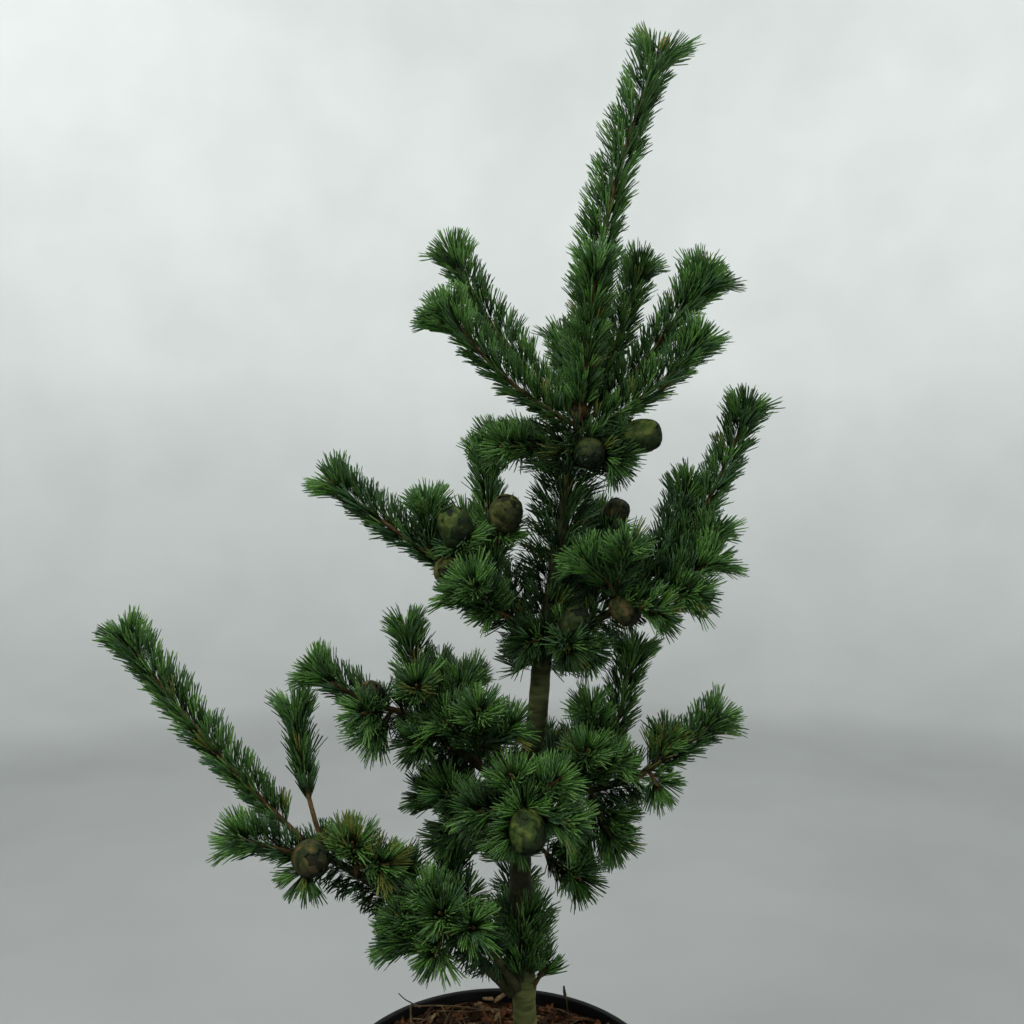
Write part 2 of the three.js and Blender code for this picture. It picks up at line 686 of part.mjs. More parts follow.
// Whether a needle keeps clear of every other stretch and stays nearer to its own mass than to others.
// Beside a limb that its stem hugs, a needle has to lead away, and only its outer part is tested.
function fits(mass, stem, base, tip, baseRadius) {
  const owner = mass.name;
  const middle = base.clone().add(tip).multiplyScalar(0.5);
  const reach = base.distanceTo(tip) / 2 + baseRadius;
  let own = Infinity;
  let other = Infinity;
  for (const s of stretches) {
    if (s.stem === stem) continue;
    if (s.kind === "stem") {
      const away = distanceTo(s, tip);
      if (s.owner === owner) own = Math.min(own, away);
      else other = Math.min(other, away);
    }
    if (s.kind === "stem" && s.owner === owner) {
      if (stem.points.includes(s.from) && stem.points.includes(s.to)) continue;
    }
    if (middle.distanceTo(s.middle) > reach + s.reach + GAP) continue;
    const hugged = s.owner === mass.hugs;
    const skipped = hugged ? HUGGING_SHARE : 0;
    const root = base.clone().lerp(tip, skipped);
    if (hugged && distanceTo(s, root) < distanceTo(s, base) + LEAST_LEAD) return false;
    const { s: mine, t: theirs, distance } = nearest(root, tip, s.from, s.to);
    const ownWidth = baseRadius * (1 - skipped) * (1 - mine);
    if (distance < ownWidth + THREE.MathUtils.lerp(s.fromRadius, s.toRadius, theirs) + GAP) return false;
  }
  return own < other;
}

// Grow the needles of one stem: a spike for each quad between two rings where there is room
function growNeedles(mass, stem) {
  const { points, radiusAt, bare } = stem;
  const ways = tangents(points);
  const rings = ringsRound(points, ways, radiusAt, STEM_SIDES, RING_TWIST, mass.inward);
  const length = (points.length - 1) * RING_STEP;
  const apexes = new Map();
  for (let k = 0; k + 1 < rings.length; k++) {
    const share = (k + 0.5) / (rings.length - 1);
    for (let j = 0; j < STEM_SIDES; j++) {
      const spread = 1 + NEEDLE_SPREAD * (2 * random() - 1);
      const lean = NEEDLE_LEAN * (2 * random() - 1);
      if (share * length < bare) continue;
      const corners = [rings[k][j], rings[k][(j + 1) % 3], rings[k + 1][(j + 1) % 3], rings[k + 1][j]];
      const base = new THREE.Vector3();
      for (const c of corners) base.addScaledVector(c, 0.25);
      const middle = points[k].clone().add(points[k + 1]).multiplyScalar(0.5);
      const way = ways[k].clone().add(ways[k + 1]).normalize();
      const out = base.clone().sub(middle);
      out.addScaledVector(way, -out.dot(way)).normalize();
      const fromTip = rings.length - 2 - k;
      const angle = THREE.MathUtils.degToRad((TUFT_ANGLES[fromTip] || NEEDLE_ANGLE) + lean);
      const needle = NEEDLE_LENGTH * spread;
      const aim = way.clone().multiplyScalar(Math.cos(angle)).addScaledVector(out, Math.sin(angle));
      const width = Math.max(base.distanceTo(corners[0]), base.distanceTo(corners[1]));
      for (const shorter of SHORTER) {
        const tip = base.clone().addScaledVector(aim, needle * shorter);
        if (tip.z < POT_HEIGHT + GAP && Math.hypot(tip.x, tip.y) < RIM_RADIUS) continue;
        if (!fits(mass, stem, base, tip, width)) continue;
        apexes.set(k * STEM_SIDES + j, tip);
        const ends = { from: base, to: tip, fromRadius: width, toRadius: 0 };
        const spike = { owner: mass.name, kind: "needle", ...ends };
        spike.middle = base.clone().add(tip).multiplyScalar(0.5);
        spike.reach = base.distanceTo(tip) / 2 + width;
        spike.stem = stem;
        stretches.push(spike);
        break;
      }
    }
  }
  const end = points[points.length - 1].clone().addScaledVector(ways[points.length - 1], BUD_LENGTH);
  return closedSurface(rings, (k, j) => apexes.get(k * STEM_SIDES + j), end);
}

// A cone: rings round its axis that step in and out like the rows of its scales
function coneSurface({ centre, way, size }) {
  const points = [];
  for (let k = 1; k <= CONE_RINGS; k++) {
    const height = -Math.cos((Math.PI * k) / (CONE_RINGS + 1)) * CONE_LENGTH * size;
    points.push(centre.clone().addScaledVector(way, height));
  }
  const ways = points.map(() => way);
  const radiusAt = (k, angle) => {
    const bulge = Math.sin((Math.PI * (k + 1)) / (CONE_RINGS + 1)) ** CONE_BLUNTNESS;
    return CONE_WIDTH * size * bulge * (1 - CONE_SCALE * (k % 2));
  };
  const side = Math.abs(way.z) < 0.9 ? new THREE.Vector3(0, 0, 1) : new THREE.Vector3(1, 0, 0);
  const rings = ringsRound(points, ways, radiusAt, CONE_SIDES, 180 / CONE_SIDES, side);
  return closedSurface(rings, null, centre.clone().addScaledVector(way, CONE_LENGTH * size));
}

function massMesh(mass) {
  let solid = null;
  for (const stem of mass.stems) {
    const shoot = solidOf(growNeedles(mass, stem));
    solid = solid ? solid.add(shoot) : shoot;
  }
  for (const cone of mass.cones) solid = solid.add(solidOf(coneSurface(cone)));
  return placed(mass.name, geometryOf(solid), mass.start, TWIG_AND_NEEDLE);
}

// A named mesh whose own origin is where its piece starts
function placed(name, geometry, start, finish) {
  geometry.translate(-start.x, -start.y, -start.z);
  const mesh = new THREE.Mesh(geometry, new THREE.MeshStandardMaterial(finish));
  mesh.name = name;
  mesh.position.copy(start);
  return mesh;
}

function potMesh() {
  const inner = RIM_RADIUS - RIM_PROUD - WALL;
  const taperAt = (z) => THREE.MathUtils.mapLinear(z, 0, POT_HEIGHT, FOOT_RADIUS, RIM_RADIUS - RIM_PROUD);
  const profile = [
    [0, 0],
    [FOOT_RADIUS, 0],
    [taperAt(POT_HEIGHT - RIM_DEPTH), POT_HEIGHT - RIM_DEPTH],
    [RIM_RADIUS - RIM_ROUND / 2, POT_HEIGHT - RIM_DEPTH],
    [RIM_RADIUS, POT_HEIGHT - RIM_DEPTH + RIM_ROUND],
    [RIM_RADIUS, POT_HEIGHT - RIM_ROUND],
    [RIM_RADIUS - RIM_ROUND, POT_HEIGHT],
    [inner + RIM_ROUND / 2, POT_HEIGHT],
    [inner - THROAT_STEP, POT_HEIGHT - THROAT_DEPTH],
    [FOOT_RADIUS - WALL, WALL],
    [0, WALL],
  ];
  const geometry = new THREE.LatheGeometry(profile.map(([r, z]) => new THREE.Vector2(r, z)), POT_SIDES);
  geometry.rotateX(Math.PI / 2);
  return placed("pot", geometryOf(solidOf(geometry)), new THREE.Vector3(), BLACK_PLASTIC);
}

function mulchMesh() {
  const floor = WALL + GAP;
  const share = (MULCH_TOP - WALL) / (POT_HEIGHT - THROAT_DEPTH - WALL);
  const throat = RIM_RADIUS - RIM_PROUD - WALL - THROAT_STEP;
  const insideTop = THREE.MathUtils.lerp(FOOT_RADIUS - WALL, throat, share);
  const clear = GAP / Math.cos(Math.PI / POT_SIDES);
  const profile = [
    [0, floor],
    [FOOT_RADIUS - WALL - clear, floor],
    [insideTop - clear, MULCH_TOP],
    [MOUND_FOOT_RADIUS, MULCH_TOP],
    [MOUND_RADIUS, MULCH_TOP + MOUND_RISE],
    [0, MULCH_TOP + MOUND_RISE],
  ];
  const geometry = new THREE.LatheGeometry(profile.map(([r, z]) => new THREE.Vector2(r, z)), POT_SIDES);
  geometry.rotateX(Math.PI / 2);
  return placed("mulch", geometryOf(solidOf(geometry)), new THREE.Vector3(), MULCH);
}

const tree = new THREE.Group();
tree.add(placed("trunk", surfaces.trunk, trunkPoints[0], BARK));
for (const name of Object.keys(BOUGHS)) {
  tree.add(placed(name, surfaces[name], boughLines[name].points[0], BARK));
}
for (const mass of masses) tree.add(massMesh(mass));

const pine = new THREE.Group();
pine.add(potMesh(), mulchMesh(), tree);

export default pine;
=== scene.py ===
import math

import bpy
import numpy as np
from mathutils import Euler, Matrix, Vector, noise


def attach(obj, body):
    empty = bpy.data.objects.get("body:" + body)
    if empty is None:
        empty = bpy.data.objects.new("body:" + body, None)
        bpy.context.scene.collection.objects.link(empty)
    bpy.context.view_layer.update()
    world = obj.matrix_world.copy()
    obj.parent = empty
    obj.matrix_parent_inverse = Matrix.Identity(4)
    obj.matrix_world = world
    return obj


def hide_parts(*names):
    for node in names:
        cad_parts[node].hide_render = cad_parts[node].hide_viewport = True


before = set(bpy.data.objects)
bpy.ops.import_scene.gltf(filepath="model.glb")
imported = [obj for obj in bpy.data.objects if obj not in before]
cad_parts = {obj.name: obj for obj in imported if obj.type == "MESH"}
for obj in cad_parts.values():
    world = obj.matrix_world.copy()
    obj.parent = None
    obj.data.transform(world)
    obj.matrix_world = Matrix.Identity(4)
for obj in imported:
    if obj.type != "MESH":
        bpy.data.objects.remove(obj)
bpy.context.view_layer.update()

rng = np.random.default_rng(20611)
MM = 0.001
# Random turns run from none to this, in radians
FULL_TURN = 6.28

# Camera: the height, distance and tilt that the arc of the pot's rim gives
CAMERA_PLACE = (0.0117, -0.913, 0.833)
CAMERA_TILT_DEG = 88.0
LENS_MM = 35.16
SENSOR_MM = 36.0

# The pot and its mulch
POT_HEIGHT = 280
RIM_RADIUS = 152.5
RIM_DEPTH = 9
RIM_PROUD = 4.5
RIM_ROUND = 1.5
FOOT_RADIUS = 122
WALL = 2.4
MULCH_TOP = 267
MOUND_RADIUS = 34
MOUND_FOOT_RADIUS = 61
MOUND_RISE = 4
POT_SIDES = 144
# The foot's profile: inset from the foot's radius, and height
FOOT_RING = [(12, 1.2), (9.5, 0.6), (8.5, 0), (1.5, 0), (0.4, 0.5), (0, 1.6)]
# How far the wall stands out of its straight taper, by height
POT_STEPS = [
    (9, 0), (10, 0.5), (11, 0.5), (60, 0), (120, 0), (180, 0), (225, 0), (235, -0.1), (236.5, 0.7),
]
MULCH_RADIUS = 144.2
MULCH_WAVE = 38
# Chips and twigs are thrown within a reach of the middle and kept within a limit
CHIP_REACH = 141
CHIP_LIMIT = 143.5
CHIP_CORNERS = 7
TWIG_REACH = 136
TWIG_LIMIT = 142
MULCH_TWIGS = 44
MULCH_STRAWS = 330
# Longer twigs that stand out of the mulch: points, root and tip radius
LOOSE_TWIGS = [
    ([(-12, 121, 271), (-40, 120, 276), (-68, 117, 279), (-90, 112, 281)], 0.9, 0.8),
    ([(-84, 113, 279), (-91, 111, 284), (-100, 108, 291), (-106, 106, 298)], 0.8, 0.5),
    ([(-92, 95, 264), (-93, 103, 273), (-94, 110, 283)], 1.4, 0.9),
    ([(71, 119, 264), (69.5, 119, 280), (67.4, 119, 292)], 0.7, 0.6),
    ([(67.5, 119, 289), (66.8, 119, 293), (66.2, 119, 299)], 1.9, 1.0),
    ([(-30, 128, 270), (-36, 122, 275), (-46, 112, 272)], 0.8, 0.6),
    ([(-58, 98, 270), (-52, 116, 274), (-47, 128, 273)], 0.9, 0.6),
    ([(40, 126, 272), (62, 118, 274), (84, 100, 272)], 0.8, 0.5),
]
# Pale chips against the pot's back: place, length and turn
PALE_CHIPS = [
    (-1, 138, 275, 24, 0.1), (-14, 137, 274, 17, -0.2), (-4, 104, 273, 15, 1.3), (-24, 128, 273, 12, 0.6),
]
# Chips: how many, those laid at a place, and their colours
CHIPS = {
    "red": (900, [], [(0.029, 0.0095, 0.0026), (0.073, 0.024, 0.0068), (0.137, 0.048, 0.015)]),
    "dark": (800, [], [(0.0077, 0.0036, 0.0014), (0.02, 0.009, 0.0032), (0.044, 0.019, 0.007)]),
    "tan": (130, PALE_CHIPS, [(0.08, 0.048, 0.02), (0.14, 0.09, 0.042), (0.24, 0.17, 0.09)]),
}
SOIL = [(0.0066, 0.0036, 0.0014), (0.018, 0.0081, 0.0035), (0.038, 0.017, 0.007)]
TWIG_COLOURS = [(0.03, 0.019, 0.009), (0.085, 0.056, 0.027), (0.2, 0.145, 0.08)]
PLASTIC = [(0.002, 0.0022, 0.002), (0.0035, 0.0038, 0.0034), (0.006, 0.0065, 0.006)]

# The trunk
TRUNK_FOOT = 271.3
TRUNK_TIP = 893
TRUNK_BENDS = [
    (26, 0, TRUNK_FOOT), (22.5, 0, 362), (19.5, 1, 460), (22, 2, 540), (34, 0, 606),
    (41, -2, 684), (57, 0, 782), (62, 2, 825), (76, 2, TRUNK_TIP),
]
TRUNK_ROOT_RADIUS = 11
TRUNK_MID_RADIUS = 8.9
UPPER_STEP = 2
UPPER_STEP_LENGTH = 12
TRUNK_TIP_RADIUS = 4.6
FLARE = 6
FLARE_HEIGHT = 16
FLARE_LOBES = 5
FLARE_LOBE_DEPTH = 0.35
WHORL_HEIGHTS = [362, 538, 684]
WHORL_SWELL = 1.3
WHORL_REACH = 9
COLLAR_SWELL = 1.6
COLLAR_REACH = 7
TRUNK_SIDES = 44
TRUNK_RING_STEP = 1.8

# The bark's relief: fine rings, soft lumps and small scars
RING_STRETCH = np.array([0.25, 0.25, 1.0])
RING_GRAIN = 2.2
LUMP_GRAIN = 14
SCAR_GRAIN = 4.5
SCAR_SHIFT = 300
SCAR_FROM = 0.28
SCAR_DEPTH = 4
BUMP_DETAIL = 3
BUMP_DEPTH = 0.0006
YOUNG_BARK = [(0.045, 0.055, 0.015), (0.12, 0.138, 0.04), (0.225, 0.235, 0.083)]
BOUGH_BARK = [(0.013, 0.014, 0.005), (0.031, 0.033, 0.011), (0.064, 0.062, 0.022)]
SHOOT_BARK = [(0.045, 0.026, 0.009), (0.1, 0.058, 0.019), (0.17, 0.11, 0.04)]
# Buds: their material, size and colours
BUDS = {
    "buds": ("bud_scales", 0.72, [(0.045, 0.026, 0.01), (0.08, 0.046, 0.017), (0.13, 0.08, 0.03)]),
    "leader_bud": (
        "leader_bud_scales", 2.2, [(0.12, 0.085, 0.025), (0.19, 0.145, 0.045), (0.28, 0.22, 0.08)]),
}

# Stems
GAP = 0.3
STEM_RADIUS = 2.4
STEM_TIP_RADIUS = 1.5
STEM_STEP = 9
LIMB_STEP = 20
BARE_START = 8
FORK_THICKNESS = 0.85
# How deep a bough, a fork and a cone begin inside what carries them
BOUGH_SUNK = 9
FORK_SUNK = 0.5
CONE_SUNK = 1
BOUGH_RING_STEP = 2
SHOOT_RING_STEP = 3.5
# How far a tube's ends stand out: in millimetres at its foot, by its radius at its tip
TUBE_FOOT = 0.1
TUBE_POINT = 0.8

# Cones, by half width and half length
CONE_WIDTH = 16
CONE_LENGTH = 19
CONE_SCALES = 34
SCALED_BLUNTNESS = 0.62
CONE_TINTS = {
    "olive": [(0.007, 0.016, 0.003), (0.027, 0.052, 0.01), (0.066, 0.088, 0.024)],
    "dark": [(0.004, 0.009, 0.0025), (0.013, 0.025, 0.006), (0.032, 0.044, 0.013)],
    "purple": [(0.009, 0.017, 0.005), (0.03, 0.038, 0.012), (0.074, 0.054, 0.024)],
    "yellow": [(0.011, 0.018, 0.0045), (0.037, 0.046, 0.0115), (0.08, 0.08, 0.027)],
}
# Painted light and shade on the cones: what a cone's scale keeps of its red, green and blue when it faces
# toward the sky, to the side, and below
CONE_PAINTED_SHADE = [(1.35, 1.22, 0.95), (0.66, 0.66, 0.62), (0.25, 0.28, 0.27)]
CONE_PAINTED_SHADE_LIMITS = (0.3, -0.15)
# Azimuth and rise of the side that looks toward the sky and gets the painted light
CONE_PAINTED_LIGHT_WAY = (200, 58)

# Boughs: height on the trunk, azimuth, rise, length, turn of the rise, and root and tip radius
BOUGH_ROWS = {
    "bough_low_left": (365, 198, 40, 229, -12, 5.6, 3.1),
    "bough_low_front": (371, 228, 46, 106, -20, 4.4, 2.8),
    "bough_low_back": (358, 94, 34, 112, 8, 4.8, 3),
    "bough_mid_left": (542, 191, 38, 128, -14, 5, 3),
    "bough_mid_front": (528, 271, 24, 50, 0, 4.4, 3),
    "bough_mid_right": (536, 355, 15, 98, 12, 4.8, 3),
    "bough_mid_back": (546, 122, 32, 104, 8, 4.6, 2.9),
    "bough_high_left": (684, 193, 44, 84, -6, 4.6, 2.9),
    "bough_high_right": (684, 353, 30, 95, -4, 4.6, 2.9),
    "bough_high_back": (690, 126, 34, 84, 8, 4.2, 2.8),
}
BOUGH_KEYS = ("height", "azimuth", "rise", "length", "turn", "root", "tip")
BOUGHS = {name: dict(zip(BOUGH_KEYS, row)) for name, row in BOUGH_ROWS.items()}


def shoot(azimuth, rise, length, turn=0, swing=0, at=1.0, forks=(), cones=(), on="trunk", **more):
    """A shoot's heading, length and turns, with its forks and cones at shares of its length."""
    return dict(azimuth=azimuth, rise=rise, length=length, turn=turn, swing=swing, at=at, forks=forks,
                cones=cones, on=on, **more)


def cone(at, azimuth, rise, size=1.0, tint="olive"):
    return dict(at=at, azimuth=azimuth, rise=rise, size=size, tint=tint)


# Masses of foliage: each is one stem on a bough, at a share of its length, or on the trunk, at a height
# A dark tint is painted shade on shoots inside, under and behind the foliage; a light tint is painted light
# on upright and far-left shoots
MASSES = {
    "leader": shoot(5, 77.5, 338, -22, height=TRUNK_TIP, radius=3.8, bare=3, angle=45, reach=84),
    "top_front": shoot(281, 67, 138, 8, height=888),
    "top_back_right": shoot(41, 63, 166, 12, height=889),
    "top_right_high": shoot(3, 52, 172, 20, height=887, forks=[shoot(345, 46, 48, 8, at=0.7)]),
    "top_right_low": shoot(331, 34, 133, 34, height=878),
    "top_back": shoot(92, 44, 98, 14, height=880,
        forks=[shoot(104, 62, 78, at=0.3), shoot(60, 34, 66, 20, at=0.45)]),
    "top_left_high": shoot(166, 52, 197, 24, 18, height=888),
    "top_left_low": shoot(201, 38.5, 158, 32, -8, height=880, forks=[shoot(190, 34, 32, 10, at=0.8)]),
    "top_low_left": shoot(163, 5, 76, 8, height=857, angle=36,
        forks=[shoot(118, 10, 44, at=0.3), shoot(216, 2, 42, at=0.35)]),
    "top_low_front": shoot(300, -8, 24, 8, height=864, tint="dark", cones=[cone(0.6, 272, -26, 0.9, "dark")],
        forks=[shoot(347, 8, 48, at=0.3, cones=[cone(0.72, 344, 8)]), shoot(334, -28, 34, at=0.5)]),
    "high_left_long": shoot(187, 36, 145, 8, on="bough_high_left", cones=[cone(0.1, 268, -6, 0.85, "yellow")],
        forks=[shoot(258, 76, 47, at=0.24), shoot(290, 56, 42, at=0.05, cones=[cone(0.7, 230, 62)])]),
    "high_left_vertical": shoot(114, 79, 136, on="bough_high_left", at=0.6, tint="light", angle=33,
        forks=[shoot(318, 60, 38, at=0.3, cones=[cone(0.6, 290, 52, 1, "yellow")])]),
    "high_left_front": shoot(242, 30, 76, 16, on="bough_high_left", at=0.35,
        forks=[shoot(199, 26, 46, at=0.25), shoot(240, 20, 28, at=0.14)]),
    "high_right_long": shoot(3, 62, 187, 18, on="bough_high_right", angle=44),
    "high_right_upright": shoot(12, 63, 107, 14, on="bough_high_right", at=0.92),
    "high_right_tufts": shoot(340, 30, 70, 12, on="bough_high_right", at=0.96,
        cones=[cone(0.5, 346, -40, 0.9)], forks=[shoot(8, 50, 64, at=0.35), shoot(318, 0, 42, at=0.12)]),
    "high_right_front": shoot(280, 52, 74, 10, on="bough_high_right", at=0.62,
        cones=[cone(0.16, 316, -38, 0.8, "purple")],
        forks=[shoot(322, -12, 50, at=0.16), shoot(200, 40, 46, at=0.3)]),
    "high_right_inner": shoot(60, 66, 88, 10, on="bough_high_right", at=0.4, tint="dark",
        forks=[shoot(20, 30, 44, at=0.3)], cones=[cone(1, 330, 60, 0.8, "purple")]),
    "high_front": shoot(304, 12, 30, height=690, tint="dark", cones=[cone(0.8, 300, 42, 0.86, "dark")],
        forks=[shoot(218, -8, 32, at=0.2), shoot(340, -28, 32, at=0.5), shoot(282, -16, 28, at=0.5)]),
    "high_back_left": shoot(124, 42, 78, 14, on="bough_high_back", tint="dark",
        forks=[shoot(168, 28, 64, 20, at=0.12), shoot(74, 30, 62, 20, at=0.16)]),
    "high_back_right": shoot(62, 39, 160, 20, height=694, bare=18, cones=[cone(0.4, 60, -30)],
        forks=[shoot(14, 34, 60, 20, at=0.36), shoot(100, 22, 66, 20, at=0.44)]),
    "mid_far_left": shoot(189, 28, 84, 22, on="bough_mid_left", cones=[cone(0.26, 262, 40, 0.8, "purple")],
        forks=[shoot(238, -36, 32, at=0.06), shoot(240, 4, 38, at=0.1)]),
    "mid_left_shoot": shoot(140, 74, 86, 8, on="bough_mid_left", at=0.8,
        forks=[shoot(268, 36, 46, at=0.14, tint="yellow")]),
    "mid_left_inner": shoot(60, 60, 56, 8, on="bough_mid_left", at=0.6,
        forks=[shoot(236, -6, 50, at=0.16, tint="dark"), shoot(140, 44, 42, at=0.24)]),
    "mid_front_left": shoot(272, 50, 76, 12, on="bough_mid_left", at=0.32,
        forks=[shoot(216, 40, 50, at=0.3), shoot(332, 34, 42, at=0.3)]),
    "mid_low_left": shoot(189, 16, 83, 12, height=522, tint="dark", bare=14,
        forks=[shoot(190, -44, 46, at=0.35), shoot(244, 30, 50, at=0.45), shoot(150, 46, 44, at=0.4),
        shoot(276, 20, 44, at=0.55)]),
    "mid_front": shoot(272, 8, 24, on="bough_mid_front", cones=[cone(0.9, 282, -54)],
        forks=[shoot(222, 64, 32, at=0.1), shoot(332, 40, 44, at=0.2),
        shoot(200, 0, 46, at=0.25, tint="dark"), shoot(338, -14, 44, at=0.35), shoot(236, -50, 30, at=0.4)]),
    "mid_right_far": shoot(354, 38, 91, 12, on="bough_mid_right", angle=46,
        forks=[shoot(292, -30, 20, at=0.1), shoot(330, 62, 34, at=0.14, tint="yellow")]),
    "mid_right_upright": shoot(44, 68, 127, 8, on="bough_mid_right", at=0.64, tint="light",
        forks=[shoot(230, 62, 62, at=0.14)]),
    "mid_right_inner": shoot(284, 48, 66, 10, on="bough_mid_right", at=0.36,
        forks=[shoot(336, 30, 46, at=0.3)]),
    "mid_right_low": shoot(308, -50, 49, 10, on="bough_mid_right", at=0.52,
        forks=[shoot(228, -50, 44, at=0.2), shoot(345, -34, 24, at=0.2)]),
    "mid_low_front": shoot(309, -15, 70, 12, height=504, tint="dark", bare=24),
    "mid_back_left": shoot(130, 27, 68, 14, on="bough_mid_back", tint="dark",
        forks=[shoot(168, 18, 56, 20, at=0.12), shoot(84, 12, 56, 20, at=0.16)]),
    "mid_back_right": shoot(62, 9, 114, 20, height=544, tint="dark", bare=18, cones=[cone(0.34, 80, -24)],
        forks=[shoot(20, 20, 62, 20, at=0.36), shoot(96, 16, 54, 20, at=0.42)]),
    "low_far_left": shoot(187, 50.5, 244, 12, on="bough_low_left", tint="light", radius=2.8, bare=32),
    "low_left_upright": shoot(160, 77, 123, 18, on="bough_low_left", at=0.97, bare=42, angle=24),
    "low_left_tuft": shoot(203, 23, 76, -4, on="bough_low_left", at=0.96, forks=[shoot(252, -38, 18, at=0.1)],
        cones=[cone(0.2, 300, 12, 1, "purple")]),
    "low_left_inner": shoot(268, 58, 34, on="bough_low_left", at=0.82, tint="yellow",
        forks=[shoot(190, 60, 25, at=0.2), shoot(320, 16, 40, at=0.12)]),
    "low_left_upper": shoot(150, 64, 29, on="bough_low_left", at=0.58, tint="dark",
        forks=[shoot(270, 44, 40, at=0.15)]),
    "low_left_mid": shoot(60, 66, 66, on="bough_low_left", at=0.4, tint="dark",
        forks=[shoot(340, 30, 28, at=0.15)]),
    "low_front": shoot(254, 36, 46, on="bough_low_front",
        forks=[shoot(300, 18, 36, at=0.1), shoot(200, 50, 40, at=0.2)]),
    "low_front_left": shoot(190, -3, 58, 16, on="bough_low_front", at=0.92,
        forks=[shoot(246, -30, 20, at=0.2), shoot(196, 32, 44, at=0.25)]),
    "low_right": shoot(332, 58, 14, height=368, reach=44),
    "low_back": shoot(98, 44, 132, 14, on="bough_low_back", tint="dark",
        forks=[shoot(156, 34, 76, 20, at=0.1), shoot(48, 24, 60, 20, at=0.14), shoot(120, 66, 56, at=0.3)]),
}
STRIPS = ["trunk_needles_left", "trunk_needles_right", "trunk_needles_low"]

# Needles: they stand in bundles of five, and angles and lengths wander by a seeded rule
NEEDLES = 5
NEEDLE_LENGTH = 28.5
NEEDLE_RADIUS = 0.67
NEEDLE_SPLAY_DEG = 9
NEEDLE_ANGLE = 40
# A needle's faces: corners 0 to 2 and 3 to 5 round it, 6 at its root and 7 at its tip
NEEDLE_QUADS = [(0, 1, 4, 3), (1, 2, 5, 4), (2, 0, 3, 5)]
NEEDLE_ENDS = [(3, 4, 7), (4, 5, 7), (5, 3, 7), (1, 0, 6), (2, 1, 6), (0, 2, 6)]
BUNDLE_RADIUS = 0.35
BUNDLE_SHIFT = 0.8
TURN_WANDER = 0.25
LENGTH_WANDER = 0.07
ANGLE_LIMITS = (2, 118)
ROOT_DEPTH = 0.9
BUNDLE_STEP = 0.84
TUFT_LENGTH = 22
TUFT_SHARE = 0.4
TUFT_BUNDLE_STEP = 0.38
FIRST_SHORTER = 0.24
UNDER_SHORTER = 0.22
LEADER_UNDER_SHORTER = 0.75
PARTING_AZIMUTH = 270
PARTING_DEG = 58
PARTING_FROM = 0.3
UPPER_SPREAD = 20
LEADER_SPREAD = 30
LEADER_NEEDLES = 1.16
LEADER_CUP_DEG = 44
UPTURN = 0.6
TUFT_UPTURN = 0.2
FIRST_ANGLE = 1.1
LAST_ANGLE = 0.84
FAN_REACH_DEG = 74
NEEDLE_TINTS = {
    "deep": [(0.0067, 0.0216, 0.0035), (0.0118, 0.0336, 0.0056), (0.0192, 0.048, 0.0091)],
    "green": [(0.0168, 0.0564, 0.0056), (0.0288, 0.09, 0.0102), (0.048, 0.131, 0.0168)],
    "bright": [(0.0408, 0.125, 0.0144), (0.0708, 0.194, 0.0252), (0.107, 0.265, 0.0408)],
    "blue": [(0.018, 0.066, 0.0156), (0.0336, 0.103, 0.0264), (0.0564, 0.149, 0.0456)],
    "yellow": [(0.072, 0.096, 0.012), (0.12, 0.142, 0.018), (0.18, 0.192, 0.03)],
}
NEEDLE_BLOOM = {
    "deep": [(0.0144, 0.0348, 0.0114), (0.0312, 0.0636, 0.0252)],
    "green": [(0.0396, 0.0936, 0.0228), (0.0756, 0.156, 0.048)],
    "bright": [(0.0948, 0.208, 0.0456), (0.168, 0.316, 0.0972)],
    "blue": [(0.0492, 0.108, 0.0456), (0.101, 0.19, 0.0888)],
    "yellow": [(0.12, 0.15, 0.03), (0.192, 0.21, 0.06)],
}
# Weights of these tints on old wood, on light and plain shoots, and in their tufts; the old-wood mix also
# serves as painted shade on dark shoots, and the light mix as painted light on light shoots
OLD_AND_SHADED_NEEDLES = [62, 24, 0, 10, 4]
LIGHT_NEEDLES = [7, 48, 27, 16, 2]
TUFT_NEEDLES = [4, 36, 43, 16, 1]
# Weights in the tuft and along the shoot, by the shoot's tint: dark is painted shade on shoots inside, under
# and behind the foliage, light is painted light on upper, upright and far-left shoots
SHOOT_NEEDLES = {
    "plain": (TUFT_NEEDLES, [24, 44, 4, 27, 1]),
    "light": (TUFT_NEEDLES, LIGHT_NEEDLES),
    "dark": ([28, 48, 10, 13, 1], OLD_AND_SHADED_NEEDLES),
    "yellow": ([8, 32, 26, 6, 28], [32, 76, 30, 33, 29]),
}
# Needles on the boughs: from a share of the length, then step, angle, length, upturn, wander and spread
BOUGH_NEEDLES = [(0.3, 1.0, 62, 1, 0.5, 16, -12), (0.5, 3.5, 78, 1.12, -0.8, 12, -20)]
# Needles on the trunk: from and to height, step, angle, length and weights
TRUNK_NEEDLES = [
    (655, 870, 0.62, 52, 1.3, OLD_AND_SHADED_NEEDLES), (842, 880, 0.7, 100, 1.6, OLD_AND_SHADED_NEEDLES),
    (664, 700, 0.7, 106, 1.25, OLD_AND_SHADED_NEEDLES), (366, 430, 0.34, 38, 1.08, LIGHT_NEEDLES),
]
GOLDEN_ANGLE = math.pi * (3 - math.sqrt(5))
# Painted shade on the trunk's bark: how much of its colour it keeps, by height in metres; it is darker inside
# the whorls, where the foliage shades it
BARK_PAINTED_SHADE = [
    (0, 0.88), (0.368, 0.88), (0.385, 0.2), (0.46, 0.13), (0.56, 0.42), (0.62, 0.5), (0.665, 0.5),
    (0.69, 0.25), (0.9, 0.23),
]
# The same painted shade for the wall behind: it is darker toward the floor
WALL_PAINTED_SHADE = [(0, 0.42), (0.06, 0.52), (0.8, 0.79), (1.25, 0.92)]
PIECE_TRIANGLES = 190000

